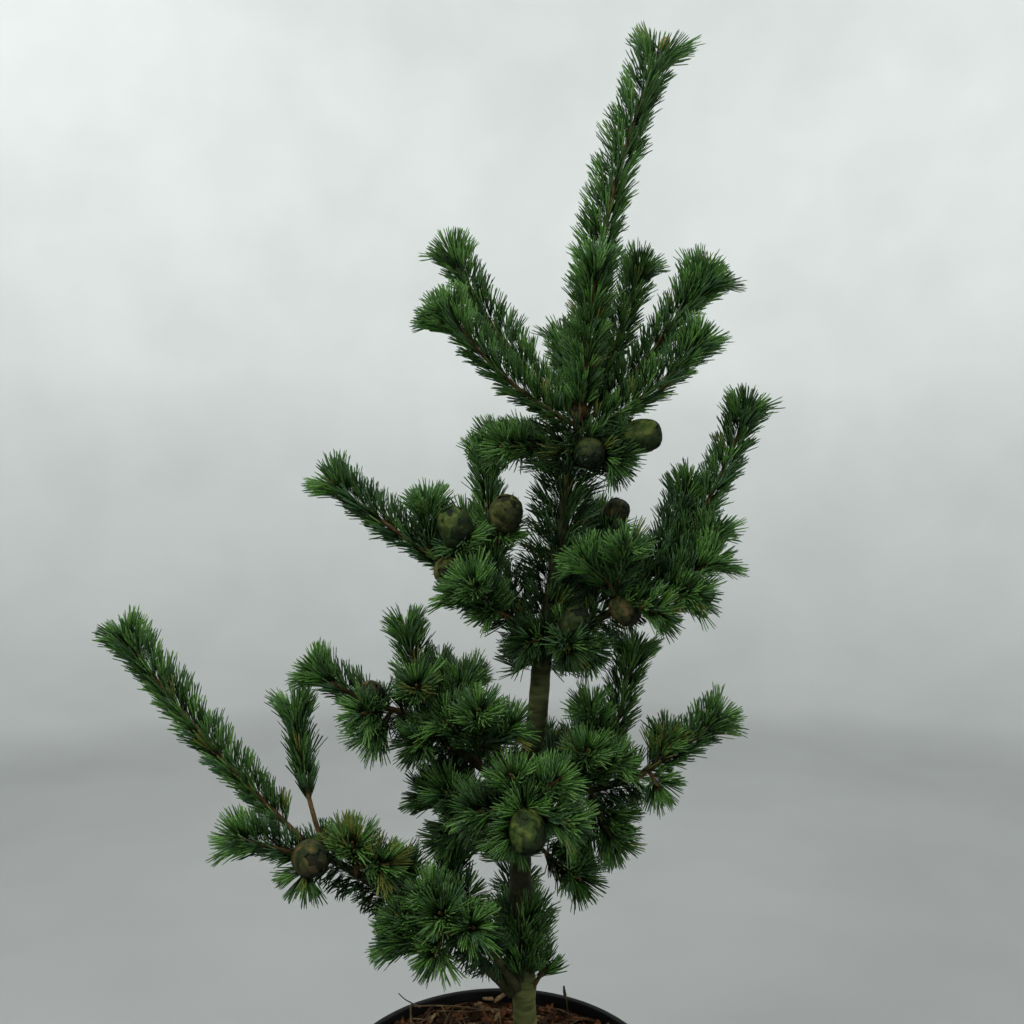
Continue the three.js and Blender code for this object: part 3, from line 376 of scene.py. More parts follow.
# The ground and the wall in millimetres, and the lights in metres
PAPER = [(0.722, 0.755, 0.742), (0.782, 0.815, 0.802)]
COVE_RADIUS = 2300
COVE = 900
WALL_TOP = 4200
SKY_COLOUR = (0.97, 0.98, 1, 1)
SKY_STRENGTH = 0.55
MIDDLE = (0.02, 0, 0.8)
WHITE = (1, 1, 1)
# Lights: name, place, aim, size, power and colour
LIGHTS = [
    ("key", (-1.3, -1.3, 2.4), MIDDLE, 1.5, 38, (1, 0.99, 0.97)),
    ("top", (0.3, 0.3, 2.9), MIDDLE, 1.6, 32, WHITE),
    ("fill", (1.9, -1.0, 1.3), MIDDLE, 1.4, 8, (0.97, 0.99, 1)),
    ("wall_left", (-1.3, 1.0, 3.0), (-1.5, 3.2, 2.2), 1.2, 24, WHITE),
    ("wall_right", (1.2, 1.2, 2.6), (1.4, 3.2, 1.7), 1.4, 14, WHITE),
]


def unit(v):
    v = np.asarray(v, float)
    return v / np.maximum(np.linalg.norm(v, axis=-1, keepdims=True), 1e-9)


def heading(azimuth, rise):
    a, r = math.radians(azimuth), math.radians(rise)
    return np.array([math.cos(a) * math.cos(r), math.sin(a) * math.cos(r), math.sin(r)])


def limb_line(start, limb, step):
    """The centre line of a limb that keeps its mean heading while it turns and swings."""
    steps = max(2, round(limb["length"] / step))
    points = [np.array(start, float)]
    for i in range(steps):
        share = (i + 0.5) / steps - 0.5
        way = heading(limb["azimuth"] + limb.get("swing", 0) * share, limb["rise"] + limb["turn"] * share)
        points.append(points[-1] + way * limb["length"] / steps)
    return np.array(points)


def smooth_line(points, per_stretch=16):
    """A dense line through points: the centripetal curve that the solids use."""
    p = np.vstack([2 * points[0] - points[1], points, 2 * points[-1] - points[-2]])
    out = []
    u = np.linspace(0, 1, per_stretch, endpoint=False)[:, None]
    for i in range(1, len(p) - 2):
        d0, d1, d2 = (max(math.sqrt(np.linalg.norm(p[i + k] - p[i + k - 1])), 1e-6) for k in (0, 1, 2))
        t1 = ((p[i] - p[i - 1]) / d0 - (p[i + 1] - p[i - 1]) / (d0 + d1) + (p[i + 1] - p[i]) / d1) * d1
        t2 = ((p[i + 1] - p[i]) / d1 - (p[i + 2] - p[i]) / (d1 + d2) + (p[i + 2] - p[i + 1]) / d2) * d1
        c2 = 3 * (p[i + 1] - p[i]) - 2 * t1 - t2
        c3 = 2 * (p[i] - p[i + 1]) + t1 + t2
        out.append(p[i] + t1 * u + c2 * u ** 2 + c3 * u ** 3)
    out.append(p[-2][None])
    return np.vstack(out)


class Line:
    """A curve that can be read at any distance along it."""

    def __init__(self, points):
        self.dense = smooth_line(np.asarray(points, float))
        steps = np.linalg.norm(np.diff(self.dense, axis=0), axis=1)
        self.reach = np.concatenate([[0], np.cumsum(steps)])
        self.length = self.reach[-1]
        ways = unit(np.gradient(self.dense, axis=0))
        side = np.array([0.0, 0.0, -1.0])
        sides = []
        for way in ways:
            side = unit(side - way * side.dot(way))
            sides.append(side)
        self.ways, self.sides = ways, np.array(sides)

    def read(self, table, distance):
        return np.stack([np.interp(distance, self.reach, table[:, i]) for i in range(3)], -1)

    def at(self, distance):
        """Points, directions and two side directions at distances along the line."""
        point = self.read(self.dense, distance)
        way = unit(self.read(self.ways, distance))
        side = self.read(self.sides, distance)
        side = unit(side - way * np.sum(side * way, -1, keepdims=True))
        return point, way, side, np.cross(way, side)


def trunk_radius(z):
    z = np.asarray(z, float)
    middle = WHORL_HEIGHTS[2]
    climbed = (z - TRUNK_FOOT) / (middle - TRUNK_FOOT)
    lower = TRUNK_ROOT_RADIUS + climbed * (TRUNK_MID_RADIUS - TRUNK_ROOT_RADIUS)
    thinner = TRUNK_MID_RADIUS - UPPER_STEP
    upper = thinner + (z - middle) / (TRUNK_TIP - middle) * (TRUNK_TIP_RADIUS - thinner)
    upper = upper + UPPER_STEP * np.exp(-np.maximum(z - middle, 0) / UPPER_STEP_LENGTH)
    swell = sum(WHORL_SWELL * np.exp(-(((z - h) / WHORL_REACH) ** 2)) for h in WHORL_HEIGHTS)
    return np.where(z < middle, lower, upper) + swell


trunk = Line(TRUNK_BENDS)


def on_trunk(height):
    distance = np.interp(height, trunk.dense[:, 2], trunk.reach)
    point, way, _, _ = trunk.at(distance)
    return point, way


def start_on(point, carrier_way, carrier_radius, way, radius, straight_on):
    """Where a limb leaves the bark of the limb that carries it."""
    lengthwise = way.dot(carrier_way)
    if straight_on:
        return point + carrier_way * (GAP + radius * math.sqrt(max(0, 1 - lengthwise ** 2)))
    out = unit(way - carrier_way * lengthwise)
    return point + out * (carrier_radius + GAP + radius * math.sqrt(max(0, 1 - way.dot(out) ** 2)))


# Meshes

def add_object(name, data):
    made = bpy.data.objects.new(name, data)
    bpy.context.scene.collection.objects.link(made)
    return made


def turns(count):
    """Angles that are evenly spaced round a circle."""
    return 2 * np.pi * np.arange(count) / count


class Pile:
    """Vertices and faces gathered for one piece, in millimetres."""

    def __init__(self):
        self.vertices, self.faces, self.slots, self.count = [], [], [], 0

    def add(self, vertices, *face_sets, slot=0):
        """Adds vertices and sets of faces, with one material slot or a row of slots that repeats."""
        for faces in face_sets:
            self.faces.append(np.asarray(faces, np.int64) + self.count)
            self.slots.append(np.resize(slot, len(faces)))
        self.vertices.append(np.asarray(vertices, float).reshape(-1, 3))
        self.count += len(self.vertices[-1])

    def shape(self, name, materials, smooth=True):
        """One Blender object of all that was gathered."""
        mesh = bpy.data.meshes.new(name)
        vertices = np.vstack(self.vertices) * MM
        sizes = np.concatenate([np.full(len(f), f.shape[1]) for f in self.faces])
        corners = np.concatenate([f.ravel() for f in self.faces])
        mesh.vertices.add(len(vertices))
        mesh.vertices.foreach_set("co", vertices.astype(np.float32).ravel())
        mesh.loops.add(len(corners))
        mesh.loops.foreach_set("vertex_index", corners.astype(np.int32))
        mesh.polygons.add(len(sizes))
        starts = np.concatenate([[0], np.cumsum(sizes)[:-1]])
        columns = dict(loop_start=starts, loop_total=sizes, material_index=np.concatenate(self.slots))
        for key, values in columns.items():
            mesh.polygons.foreach_set(key, values.astype(np.int32))
        mesh.polygons.foreach_set("use_smooth", np.full(len(sizes), smooth))
        mesh.update(calc_edges=True)
        mesh.validate()
        for made in materials:
            mesh.materials.append(made)
        return add_object(name, mesh)

    def build(self, name, materials, slot, nodes=(), smooth=True):
        """A piece that rides on the frame and stands for the named nodes."""
        piece = self.shape(name, materials, smooth)
        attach(piece, "root")
        if nodes:
            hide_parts(*nodes)


def ring_quads(rings, sides):
    """Quads between rings of vertices that follow each other."""
    k, j = (a.ravel() for a in np.meshgrid(np.arange(rings - 1), np.arange(sides), indexing="ij"))
    nxt = (j + 1) % sides
    return np.stack([k * sides + j, k * sides + nxt, (k + 1) * sides + nxt, (k + 1) * sides + j], 1)


def lid(sides):
    """Triangles that close one ring of vertices."""
    return np.stack([np.zeros(sides - 2, int), np.arange(1, sides - 1), np.arange(2, sides)], 1)


def spokes(side, other, sides):
    """The outward directions of the corners of each ring."""
    angle = turns(sides)[None, :, None]
    return side[:, None] * np.cos(angle) + other[:, None] * np.sin(angle)


def corner_radii(radii, rings, sides):
    """A radius for each corner, from one for each ring or for each corner."""
    return np.broadcast_to(np.asarray(radii, float).reshape(rings, -1), (rings, sides))


def add_tube(pile, line, distances, radii, sides):
    """A closed tube along a line, with a radius for each ring or for each corner of each ring."""
    point, way, side, other = line.at(distances)
    count = len(distances)
    radii = corner_radii(radii, count, sides)
    rings = point[:, None] + spokes(side, other, sides) * radii[..., None]
    foot = point[0] - way[0] * TUBE_FOOT
    tip = point[-1] + way[-1] * radii[-1].mean() * TUBE_POINT
    j = np.arange(sides)
    nxt = (j + 1) % sides
    last = (count - 1) * sides
    foot_cap = np.stack([np.full(sides, count * sides), nxt, j], 1)
    tip_cap = np.stack([np.full(sides, count * sides + 1), last + j, last + nxt], 1)
    pile.add(np.vstack([rings.reshape(-1, 3), foot, tip]), ring_quads(count, sides), foot_cap, tip_cap)


def bark_relief(points, scale_mm, octaves):
    """Noise between about -1 and 1 at points, on a scale in millimetres."""
    values = [noise.fractal(Vector(p), 1.0, 2.0, octaves) for p in points.reshape(-1, 3) / scale_mm]
    return np.array(values).reshape(points.shape[:-1])


def add_bark_tube(pile, line, distances, radii, sides, ringing, lumps):
    """A limb with its bark's relief: fine rings round it, soft lumps and small scars."""
    point, _, side, other = line.at(distances)
    base = corner_radii(radii, len(distances), sides)
    surface = point[:, None] + spokes(side, other, sides) * base[..., None]
    rings = bark_relief(surface * RING_STRETCH, RING_GRAIN, 2) * ringing
    lump = bark_relief(surface, LUMP_GRAIN, 2) * lumps
    scars = np.clip(bark_relief(surface + SCAR_SHIFT, SCAR_GRAIN, 1) - SCAR_FROM, 0, 1) * ringing * SCAR_DEPTH
    add_tube(pile, line, distances, base + rings + lump + scars, sides)


# Materials

def add_node(made, kind, values=()):
    """A new node in a material, with the values of some of its inputs."""
    node = made.node_tree.nodes.new("ShaderNode" + kind)
    for key, value in dict(values).items():
        node.inputs[key].default_value = value
    return node


def add_ramp(made, factor, stops):
    """The colour of a ramp that reads a factor, by pairs of a position and a colour."""
    node = add_node(made, "ValToRGB")
    elements = node.color_ramp.elements
    while len(elements) < len(stops):
        elements.new(0.5)
    for element, (position, colour) in zip(elements, stops):
        element.position = position
        element.color = (*colour, 1)
    made.node_tree.links.new(factor, node.inputs["Fac"])
    return node.outputs["Color"]


def material(name, colours, scale, detail, roughness, rough_spread=0.1, bump=0.0, bump_scale=900,
             stretch=(1, 1, 1), specular=0.2, distortion=0.0, ramp_reach=0.2):
    """A principled material whose colour runs through a ramp by noise in the object's own space."""
    made = bpy.data.materials.new(name)
    made.use_nodes = True
    link = made.node_tree.links.new
    shader = made.node_tree.nodes["Principled BSDF"]
    shader.inputs["Specular IOR Level"].default_value = specular
    mapping = add_node(made, "Mapping", {"Scale": stretch})
    link(add_node(made, "TexCoord").outputs["Object"], mapping.inputs["Vector"])
    grain = add_node(made, "TexNoise", {"Scale": scale, "Detail": detail, "Distortion": distortion})
    link(mapping.outputs["Vector"], grain.inputs["Vector"])
    places = np.linspace(0.5 - ramp_reach, 0.5 + ramp_reach, len(colours))
    link(add_ramp(made, grain.outputs["Fac"], list(zip(places, colours))), shader.inputs["Base Color"])
    low, high = roughness - rough_spread, roughness + rough_spread
    rough = add_node(made, "MapRange", {"To Min": low, "To Max": high})
    link(grain.outputs["Fac"], rough.inputs["Value"])
    link(rough.outputs["Result"], shader.inputs["Roughness"])
    if bump:
        fine = add_node(made, "TexNoise", {"Scale": bump_scale, "Detail": BUMP_DETAIL})
        link(mapping.outputs["Vector"], fine.inputs["Vector"])
        relief = add_node(made, "Bump", {"Strength": bump, "Distance": BUMP_DEPTH})
        link(fine.outputs["Fac"], relief.inputs["Height"])
        link(relief.outputs["Normal"], shader.inputs["Normal"])
    return made


def paint_shade_by_height(made, stops):
    """Paints shade into a material by height: pairs of a height in metres and the share of its colour that it
    keeps.
    """
    link = made.node_tree.links.new
    colour = made.node_tree.nodes["Principled BSDF"].inputs["Base Color"]
    apart = add_node(made, "SeparateXYZ")
    link(add_node(made, "TexCoord").outputs["Object"], apart.inputs["Vector"])
    top = stops[-1][0]
    climb = add_node(made, "MapRange", {"From Max": top})
    link(apart.outputs["Z"], climb.inputs["Value"])
    kept = add_ramp(made, climb.outputs["Result"], [(height / top, (share,) * 3) for height, share in stops])
    shade = add_node(made, "VectorMath")
    shade.operation = "SCALE"
    link(colour.links[0].from_socket, shade.inputs[0])
    link(kept, shade.inputs["Scale"])
    link(shade.outputs["Vector"], colour)


# Limbs: the trunk, the boughs and every shoot, laid out by the same rule as the solids
limbs = []
cones = []


def taper(root, tip, length):
    """The radius at a distance along a limb that narrows evenly."""
    return lambda distance: root + (tip - root) * distance / length


def rooted(points, way, depth):
    """A limb's line that begins inside the limb that carries it."""
    return Line(np.vstack([points[0] - way * depth, points]))


for bough in BOUGHS.values():
    point, way = on_trunk(bough["height"])
    first = heading(bough["azimuth"], bough["rise"] - bough["turn"] / 2)
    start = start_on(point, way, float(trunk_radius(bough["height"])), first, bough["root"], False)
    points = limb_line(start, bough, LIMB_STEP)
    bough["line"] = Line(points)
    bough["rooted"] = rooted(points, first, BOUGH_SUNK)


def lay_stem(mass, stem, start, radius, bare, sunk, main=False):
    """A stem of a mass, then its forks and its cones."""
    points = limb_line(start, stem, STEM_STEP)
    line = Line(points)
    # Upper shoots take the light mix by default: painted light from above
    tint = mass.get("tint", "light" if mass["name"].startswith(("leader", "top_")) else "plain")
    limbs.append(dict(
        mass=mass["name"], line=line, rooted=rooted(points, unit(points[1] - points[0]), sunk), root=radius,
        tip=STEM_TIP_RADIUS, bare=bare, tint=stem.get("tint", tint), angle=stem.get("angle", NEEDLE_ANGLE),
        reach=stem.get("reach", FAN_REACH_DEG), main=main))
    for fork in stem["forks"]:
        seat = line.at(fork["at"] * line.length)[0]
        lay_stem(mass, fork, seat, radius * FORK_THICKNESS, BARE_START * 0.5 + radius, FORK_SUNK)
    for spec in stem["cones"]:
        way = heading(spec["azimuth"], spec["rise"])
        seat = line.at(spec["at"] * line.length)[0]
        cones.append(dict(spec, centre=seat + way * (CONE_LENGTH * spec["size"] - CONE_SUNK), way=way))


for name, mass in MASSES.items():
    mass["name"] = name
    radius = mass.get("radius", STEM_RADIUS)
    first = heading(mass["azimuth"] - mass["swing"] / 2, mass["rise"] - mass["turn"] / 2)
    if mass["on"] == "trunk":
        point, way = on_trunk(mass["height"])
        carrier_radius = float(trunk_radius(mass["height"]))
        straight_on = mass["height"] == TRUNK_TIP
    else:
        bough = BOUGHS[mass["on"]]
        point, way, _, _ = bough["line"].at(mass["at"] * bough["line"].length)
        carrier_radius = taper(bough["root"], bough["tip"], 1)(mass["at"])
        straight_on = mass["at"] == 1
    start = start_on(point, way, carrier_radius, first, radius, straight_on)
    lay_stem(mass, mass, start, radius, mass.get("bare", BARE_START), carrier_radius * 0.9 + 2, True)

# Needles: gathered as bundles, each with a root, a first and a last direction, a length and a tint
bundles = dict(root=[], first=[], last=[], length=[], tint=[])
TINTS = list(NEEDLE_TINTS)


def clothe(line, begin, end, step, radius_at, angle, length, tint_weights, upturn, wander=7, fan=0.0,
           spread=UPPER_SPREAD, cup=0.0, reach=FAN_REACH_DEG, short=0.0, under=UNDER_SHORTER, parted=None):
    """Bundles of needles in a spiral along a stretch of a limb, from a side angle to a fan at its end."""
    count = max(1, int((end - begin) / step))
    distance = begin + (np.arange(count) + rng.random(count) * BUNDLE_SHIFT) * step
    distance = np.clip(distance, begin, end)
    turn = np.arange(count) * GOLDEN_ANGLE + rng.normal(0, TURN_WANDER, count)
    point, way, side, other = line.at(distance)
    out = side * np.cos(turn)[:, None] + other * np.sin(turn)[:, None]
    slope = np.sqrt(np.clip(1 - way[:, 2] ** 2, 1e-4, 1))
    level = slope ** 0.6
    facing_up = np.clip(out[:, 2] / slope, -1, 1) * level
    angles = angle + rng.normal(0, wander, count) + spread * facing_up
    share = np.clip((distance - begin) / max(end - begin, 1e-6), 0, 1)
    cap = np.degrees(np.arccos(1 - rng.random(count) * (1 - math.cos(math.radians(reach)))))
    cap = cup + cap * (1 - cup / reach)
    angles = angles + (cap - angles) * (fan * share)
    angles = np.radians(np.clip(angles, *ANGLE_LIMITS))
    upward = np.clip(0.3 + math.copysign(1, upturn) * facing_up, 0, 1)
    lift = np.array([0, 0, 1.0]) * (upturn * level * upward * (1 - fan * share * 0.8))[:, None]
    long = length * rng.normal(1, LENGTH_WANDER, count)
    shorter = UNDER_SHORTER + (under - UNDER_SHORTER) * (1 - share)
    long = long * (1 - shorter * np.clip(-facing_up, 0, 1) * (1 - fan))
    long = long * (1 - fan * share * (0.42 - 0.54 * np.sin(angles)))
    long = long * (1 - short * np.clip(1 - 2 * share, 0, 1))
    early, late = angles * FIRST_ANGLE, angles * LAST_ANGLE
    first = unit(way * np.cos(early)[:, None] + out * np.sin(early)[:, None] + lift * 0.4)
    last = unit(way * np.cos(late)[:, None] + out * np.sin(late)[:, None] + lift)
    weights = np.array(tint_weights, float)
    tint = rng.choice(len(TINTS), count, p=weights / weights.sum())
    root = point + out * np.asarray(radius_at(distance)).reshape(-1, 1) * ROOT_DEPTH
    grown = np.ones(count, bool)
    if parted is not None:
        grown = (out @ heading(parted, 0) < math.cos(math.radians(PARTING_DEG))) | (share < PARTING_FROM)
    for key, values in dict(root=root, first=first, last=last, length=long, tint=tint).items():
        bundles[key].append(values[grown])


for limb in limbs:
    line, length, bare, angle = limb["line"], limb["line"].length, limb["bare"], limb["angle"]
    radius_at = taper(limb["root"], limb["tip"], length)
    tuft = max(length - TUFT_LENGTH, length * TUFT_SHARE)
    ends, brush = SHOOT_NEEDLES[limb["tint"]]
    spread, long, under, cup, parted = UPPER_SPREAD, NEEDLE_LENGTH, UNDER_SHORTER, 0, None
    if limb["mass"] == "leader":
        spread, long, under = LEADER_SPREAD, NEEDLE_LENGTH * LEADER_NEEDLES, LEADER_UNDER_SHORTER
        cup, parted = LEADER_CUP_DEG, PARTING_AZIMUTH
    if tuft > bare:
        clothe(line, bare, tuft, BUNDLE_STEP, radius_at, angle, long, brush, UPTURN, spread=spread,
               short=FIRST_SHORTER if limb["main"] else 0, under=under)
    clothe(line, max(tuft, bare), length, TUFT_BUNDLE_STEP, radius_at, angle, long, ends, TUFT_UPTURN,
           fan=1.0, cup=cup, reach=limb["reach"], parted=parted)

for bough in BOUGHS.values():
    line = bough["line"]
    radius_at = taper(bough["root"], bough["tip"], line.length)
    for begin, step, angle, long, upturn, wander, spread in BOUGH_NEEDLES:
        clothe(line, line.length * begin, line.length, step, radius_at, angle, NEEDLE_LENGTH * long,
               OLD_AND_SHADED_NEEDLES, upturn, wander, spread=spread)

for low, high, step, angle, long, weights in TRUNK_NEEDLES:
    begin, end = np.interp([low, high], trunk.dense[:, 2], trunk.reach)
    clothe(trunk, begin, end, step, lambda d: trunk_radius(trunk.at(d)[0][:, 2]), angle, NEEDLE_LENGTH * long,
           weights, 0.1, 14)

roots, firsts, lasts = (np.vstack(bundles[key]) for key in ("root", "first", "last"))
lengths, tints = (np.concatenate(bundles[key]) for key in ("length", "tint"))


def needle_point(share):
    """The middle of each bundle at a share of its length."""
    return roots + lengths[:, None] * (firsts * (share - share ** 2 / 2) + lasts * share ** 2 / 2)


def cone_reach(points, spec, spare=0):
    """Where points are by a cone's own size: under 1 is inside it."""
    offset = points - spec["centre"]
    lengthwise = offset @ spec["way"]
    across = np.linalg.norm(offset - lengthwise[:, None] * spec["way"], axis=1)
    wide, tall = CONE_WIDTH * spec["size"] + spare, CONE_LENGTH * spec["size"] + spare
    return (across / wide) ** 2 + (lengthwise / tall) ** 2


# Bundles that would pass through a cone bend round it, as far as they can
for _ in range(4):
    for share in (0.45, 0.75, 1.0):
        reached = needle_point(share)
        for spec in cones:
            inside = cone_reach(reached, spec, 1) < 1
            away = unit(reached[inside] - spec["centre"])
            lasts[inside] = unit(lasts[inside] + away * 0.35)
            firsts[inside] = unit(firsts[inside] + away * 0.15)

# Bundles that still pass through a cone, the pot or the mulch are left out
keep = np.ones(len(roots), bool)
for share in (0.35, 0.7, 1.0):
    reached = needle_point(share)
    for spec in cones:
        keep &= cone_reach(reached, spec) > 1
    keep &= (np.linalg.norm(reached[:, :2], axis=1) >= RIM_RADIUS + 2) | (reached[:, 2] >= POT_HEIGHT + 3)
roots, firsts, lasts, lengths, tints = (a[keep] for a in (roots, firsts, lasts, lengths, tints))


def needle_arrays(chosen):
    """Vertices, quads, triangles and slots: each needle is a bent three-sided spike with two points."""
    count = len(chosen) * NEEDLES
    rep = np.repeat(chosen, NEEDLES)
    spin = np.tile(turns(NEEDLES), len(chosen)) + np.repeat(rng.random(len(chosen)) * FULL_TURN, NEEDLES)
    along = lasts[rep]
    u = unit(np.cross(along, np.array([0.31, 0.17, 0.93])))
    v = np.cross(along, u)
    radial = u * np.cos(spin)[:, None] + v * np.sin(spin)[:, None]
    splay = np.radians(NEEDLE_SPLAY_DEG) * rng.uniform(0.3, 1.4, count)[:, None]
    first = unit(firsts[rep] + radial * splay * 0.5)
    last = unit(along + radial * splay * 1.5)
    length = (lengths[rep] * rng.uniform(0.93, 1.04, count))[:, None]
    base = roots[rep] + radial * BUNDLE_RADIUS
    centres = [base + length * (first * (s - s * s / 2) + last * s * s / 2) for s in (0.0, 0.5, 0.93, 1.0)]
    width = NEEDLE_RADIUS * rng.uniform(0.85, 1.15, count)[:, None]
    rings = []
    for centre, share in zip(centres[1:3], (1.0, 0.72)):
        for turn in turns(3):
            out = u * np.cos(spin + turn)[:, None] + v * np.sin(spin + turn)[:, None]
            rings.append(centre + out * width * share)
    vertices = np.stack(rings + [centres[0], centres[3]], 1)
    start = np.arange(count)[:, None] * vertices.shape[1]
    quads = np.vstack([start + np.array(face) for face in NEEDLE_QUADS])
    ends = np.vstack([start + np.array(face) for face in NEEDLE_ENDS])
    return vertices, quads, ends, np.repeat([0, 1, 1], count)


def build_needles():
    most = PIECE_TRIANGLES // (12 * NEEDLES)
    nodes = list(MASSES) + STRIPS
    for index, tint in enumerate(TINTS):
        colour = material("needles_" + tint, NEEDLE_TINTS[tint], 260, 3, 0.52, 0.08)
        bloom = material("bloom_" + tint, NEEDLE_BLOOM[tint], 420, 3, 0.56, 0.08, specular=0.18)
        chosen = np.flatnonzero(tints == index)
        parts = max(1, math.ceil(len(chosen) / most))
        for number, part in enumerate(np.array_split(chosen, parts)):
            pile = Pile()
            vertices, quads, ends, slots = needle_arrays(part)
            pile.add(vertices, quads, ends, slot=slots)
            pile.build(f"needles_{tint}_{number + 1}", [colour, bloom], "foliage", nodes)


def build_shoots():
    pile = Pile()
    for limb in limbs:
        line = limb["rooted"]
        rings = max(4, int(line.length / SHOOT_RING_STEP))
        distances = np.linspace(0, line.length, rings)
        radii = taper(limb["root"], limb["tip"], line.length)(distances)
        if limb["main"]:
            radii = radii * (1 + 0.45 * np.exp(-distances / 9))
        wobble = 1 + 0.06 * np.sin(distances * 1.7) + rng.normal(0, 0.03, rings)
        add_tube(pile, line, distances, radii * wobble, 8)
    finish = material("shoot_bark", SHOOT_BARK, 160, 5, 0.65, bump=0.4, bump_scale=1400, specular=0.25)
    pile.build("shoots", [finish], "bark")


def build_trunk():
    pile = Pile()
    distances = np.arange(0, trunk.length, TRUNK_RING_STEP)
    point, _, side, other = trunk.at(distances)
    z = point[:, 2]
    flare = FLARE * np.exp(-(z - TRUNK_FOOT) / FLARE_HEIGHT)
    lobes = 1 + FLARE_LOBE_DEPTH * np.cos(FLARE_LOBES * turns(TRUNK_SIDES))
    radii = trunk_radius(z)[:, None] + flare[:, None] * lobes[None]
    out = spokes(side, other, TRUNK_SIDES)
    for bough in BOUGHS.values():
        facing = np.clip(out @ heading(bough["azimuth"], 0), 0, 1) ** 6
        near = np.exp(-(((z - bough["height"] - 2) / COLLAR_REACH) ** 2))
        radii = radii + COLLAR_SWELL * facing * near[:, None]
    add_bark_tube(pile, trunk, distances, radii, TRUNK_SIDES, 0.2, 0.35)
    finish = material("young_bark", YOUNG_BARK, 60, 7, 0.78, bump=0.6, stretch=(0.7, 0.7, 3.2), specular=0.25)
    # Painted shade: the bark darkens inside the whorls and under the foliage
    paint_shade_by_height(finish, BARK_PAINTED_SHADE)
    pile.build("trunk_bark", [finish], "bark", ["trunk"])


def build_boughs():
    pile = Pile()
    for bough in BOUGHS.values():
        line = bough["rooted"]
        distances = np.arange(0, line.length, BOUGH_RING_STEP)
        radii = taper(bough["root"], bough["tip"], line.length)(distances)
        radii = radii * (1 + 0.35 * np.exp(-np.maximum(distances - 8, 0) / 6))
        add_bark_tube(pile, line, distances, radii, 20, 0.22, 0.3)
    finish = material("bough_bark", BOUGH_BARK, 90, 6, 0.8, bump=0.5, bump_scale=1000, specular=0.22)
    pile.build("boughs_bark", [finish], "bark", list(BOUGHS))


def add_scaled_body(pile, centre, way, half_width, half_length, count, reach, grid, lift, core=(9, 14),
                    painted_shade=False):
    """A cone or a bud: a core under rows of overlapping scales set in a spiral; for cones, each scale gets
    painted light or shade by how it faces, and the core painted shade.
    """
    way = unit(way)
    u = unit(np.cross(way, np.array([0.2, 0.37, 0.9])))
    v = np.cross(way, u)

    def profile(t):
        return half_width * np.sin(np.pi * np.clip(t, 0.0, 1.0)) ** SCALED_BLUNTNESS

    def place(t, angle, out):
        radial = u * np.cos(angle)[..., None] + v * np.sin(angle)[..., None]
        height = (-np.cos(np.pi * np.clip(t, 0, 1)) * half_length)[..., None]
        return centre + way * height + radial * (profile(t) + out)[..., None]

    rows, sides = core
    t, angle = np.meshgrid(np.linspace(0.02, 0.98, rows), turns(sides), indexing="ij")
    # For cones, the core between the scales takes the darkest copy: painted shade in the gaps
    pile.add(place(t, angle, -0.08 * half_width), ring_quads(rows, sides), lid(sides)[:, ::-1],
             lid(sides) + (rows - 1) * sides, slot=len(CONE_PAINTED_SHADE) - 1 if painted_shade else 0)
    across = np.linspace(-1, 1, grid + 1)[None]
    up = np.linspace(0, 1, grid + 1)[:, None]
    outline = np.sqrt(np.clip(1 - up ** 3.2, 0.03, 1))
    outline = outline * (0.55 + 0.45 * np.sin(np.pi * np.clip(up + 0.15, 0, 1) / 1.3))
    out = lift * (up ** 1.6) * (1 - 0.35 * across ** 2) + lift * 0.5 * (1 - across ** 2) * np.sin(np.pi * up)
    index = np.arange((grid + 1) ** 2).reshape(grid + 1, grid + 1)
    cells = np.stack([index[:-1, :-1], index[:-1, 1:], index[1:, 1:], index[1:, :-1]], -1).reshape(-1, 4)
    edge = np.concatenate([index[0], index[1:, -1], index[-1, -2::-1], index[-2:0:-1, 0]])
    nxt = np.roll(edge, -1)
    rim = np.stack([edge, edge + index.size, nxt + index.size, nxt], 1)
    for i in range(count):
        share = (i + 0.5) / count
        middle = np.arccos(1 - 2 * share) / np.pi
        turn = i * GOLDEN_ANGLE
        size = reach * (0.62 + 0.5 * math.sin(math.pi * share)) * rng.uniform(0.93, 1.07)
        radius = max(profile(middle), half_width * 0.35)
        angles = turn + across * outline * size / radius * 0.95
        heights = middle + (up - 0.45) * size / half_length * 0.62
        top = place(heights, angles, out)
        under = place(heights, angles, out - lift * (0.25 + 0.3 * (1 - up)))
        # Painted light and shade: a scale that faces the light takes the lit copy, the others shaded copies
        painted_shade_level = 0
        if painted_shade:
            painted_light_facing = unit(place(middle, turn, 0) - centre) @ heading(*CONE_PAINTED_LIGHT_WAY) + 0.22 * math.sin(2.4 * i)
            painted_shade_level = int(sum(painted_light_facing < limit for limit in CONE_PAINTED_SHADE_LIMITS))
        pile.add(np.stack([top, under]), cells, cells[:, ::-1] + index.size, rim, slot=painted_shade_level)


def build_cones():
    for tint, colours in CONE_TINTS.items():
        pile = Pile()
        for spec in cones:
            size = spec["size"]
            if spec["tint"] == tint:
                add_scaled_body(pile, spec["centre"], spec["way"], CONE_WIDTH * size * 0.93,
                                CONE_LENGTH * size * 0.97, CONE_SCALES, 9 * size, 4, 0.75, painted_shade=True)
        finishes = []
        # Lit and shaded copies of each cone colour, for the painted light and shade
        for number, painted_shade_level in enumerate(CONE_PAINTED_SHADE):
            kept = [tuple(a * b for a, b in zip(colour, painted_shade_level)) for colour in colours]
            finishes.append(material(f"cone_{tint}_{number}", kept, 95, 6, 0.7, bump=0.5, bump_scale=1400,
                                     specular=0.18, distortion=0.6, ramp_reach=0.13))
        pile.build("cones_" + tint, finishes, "foliage")


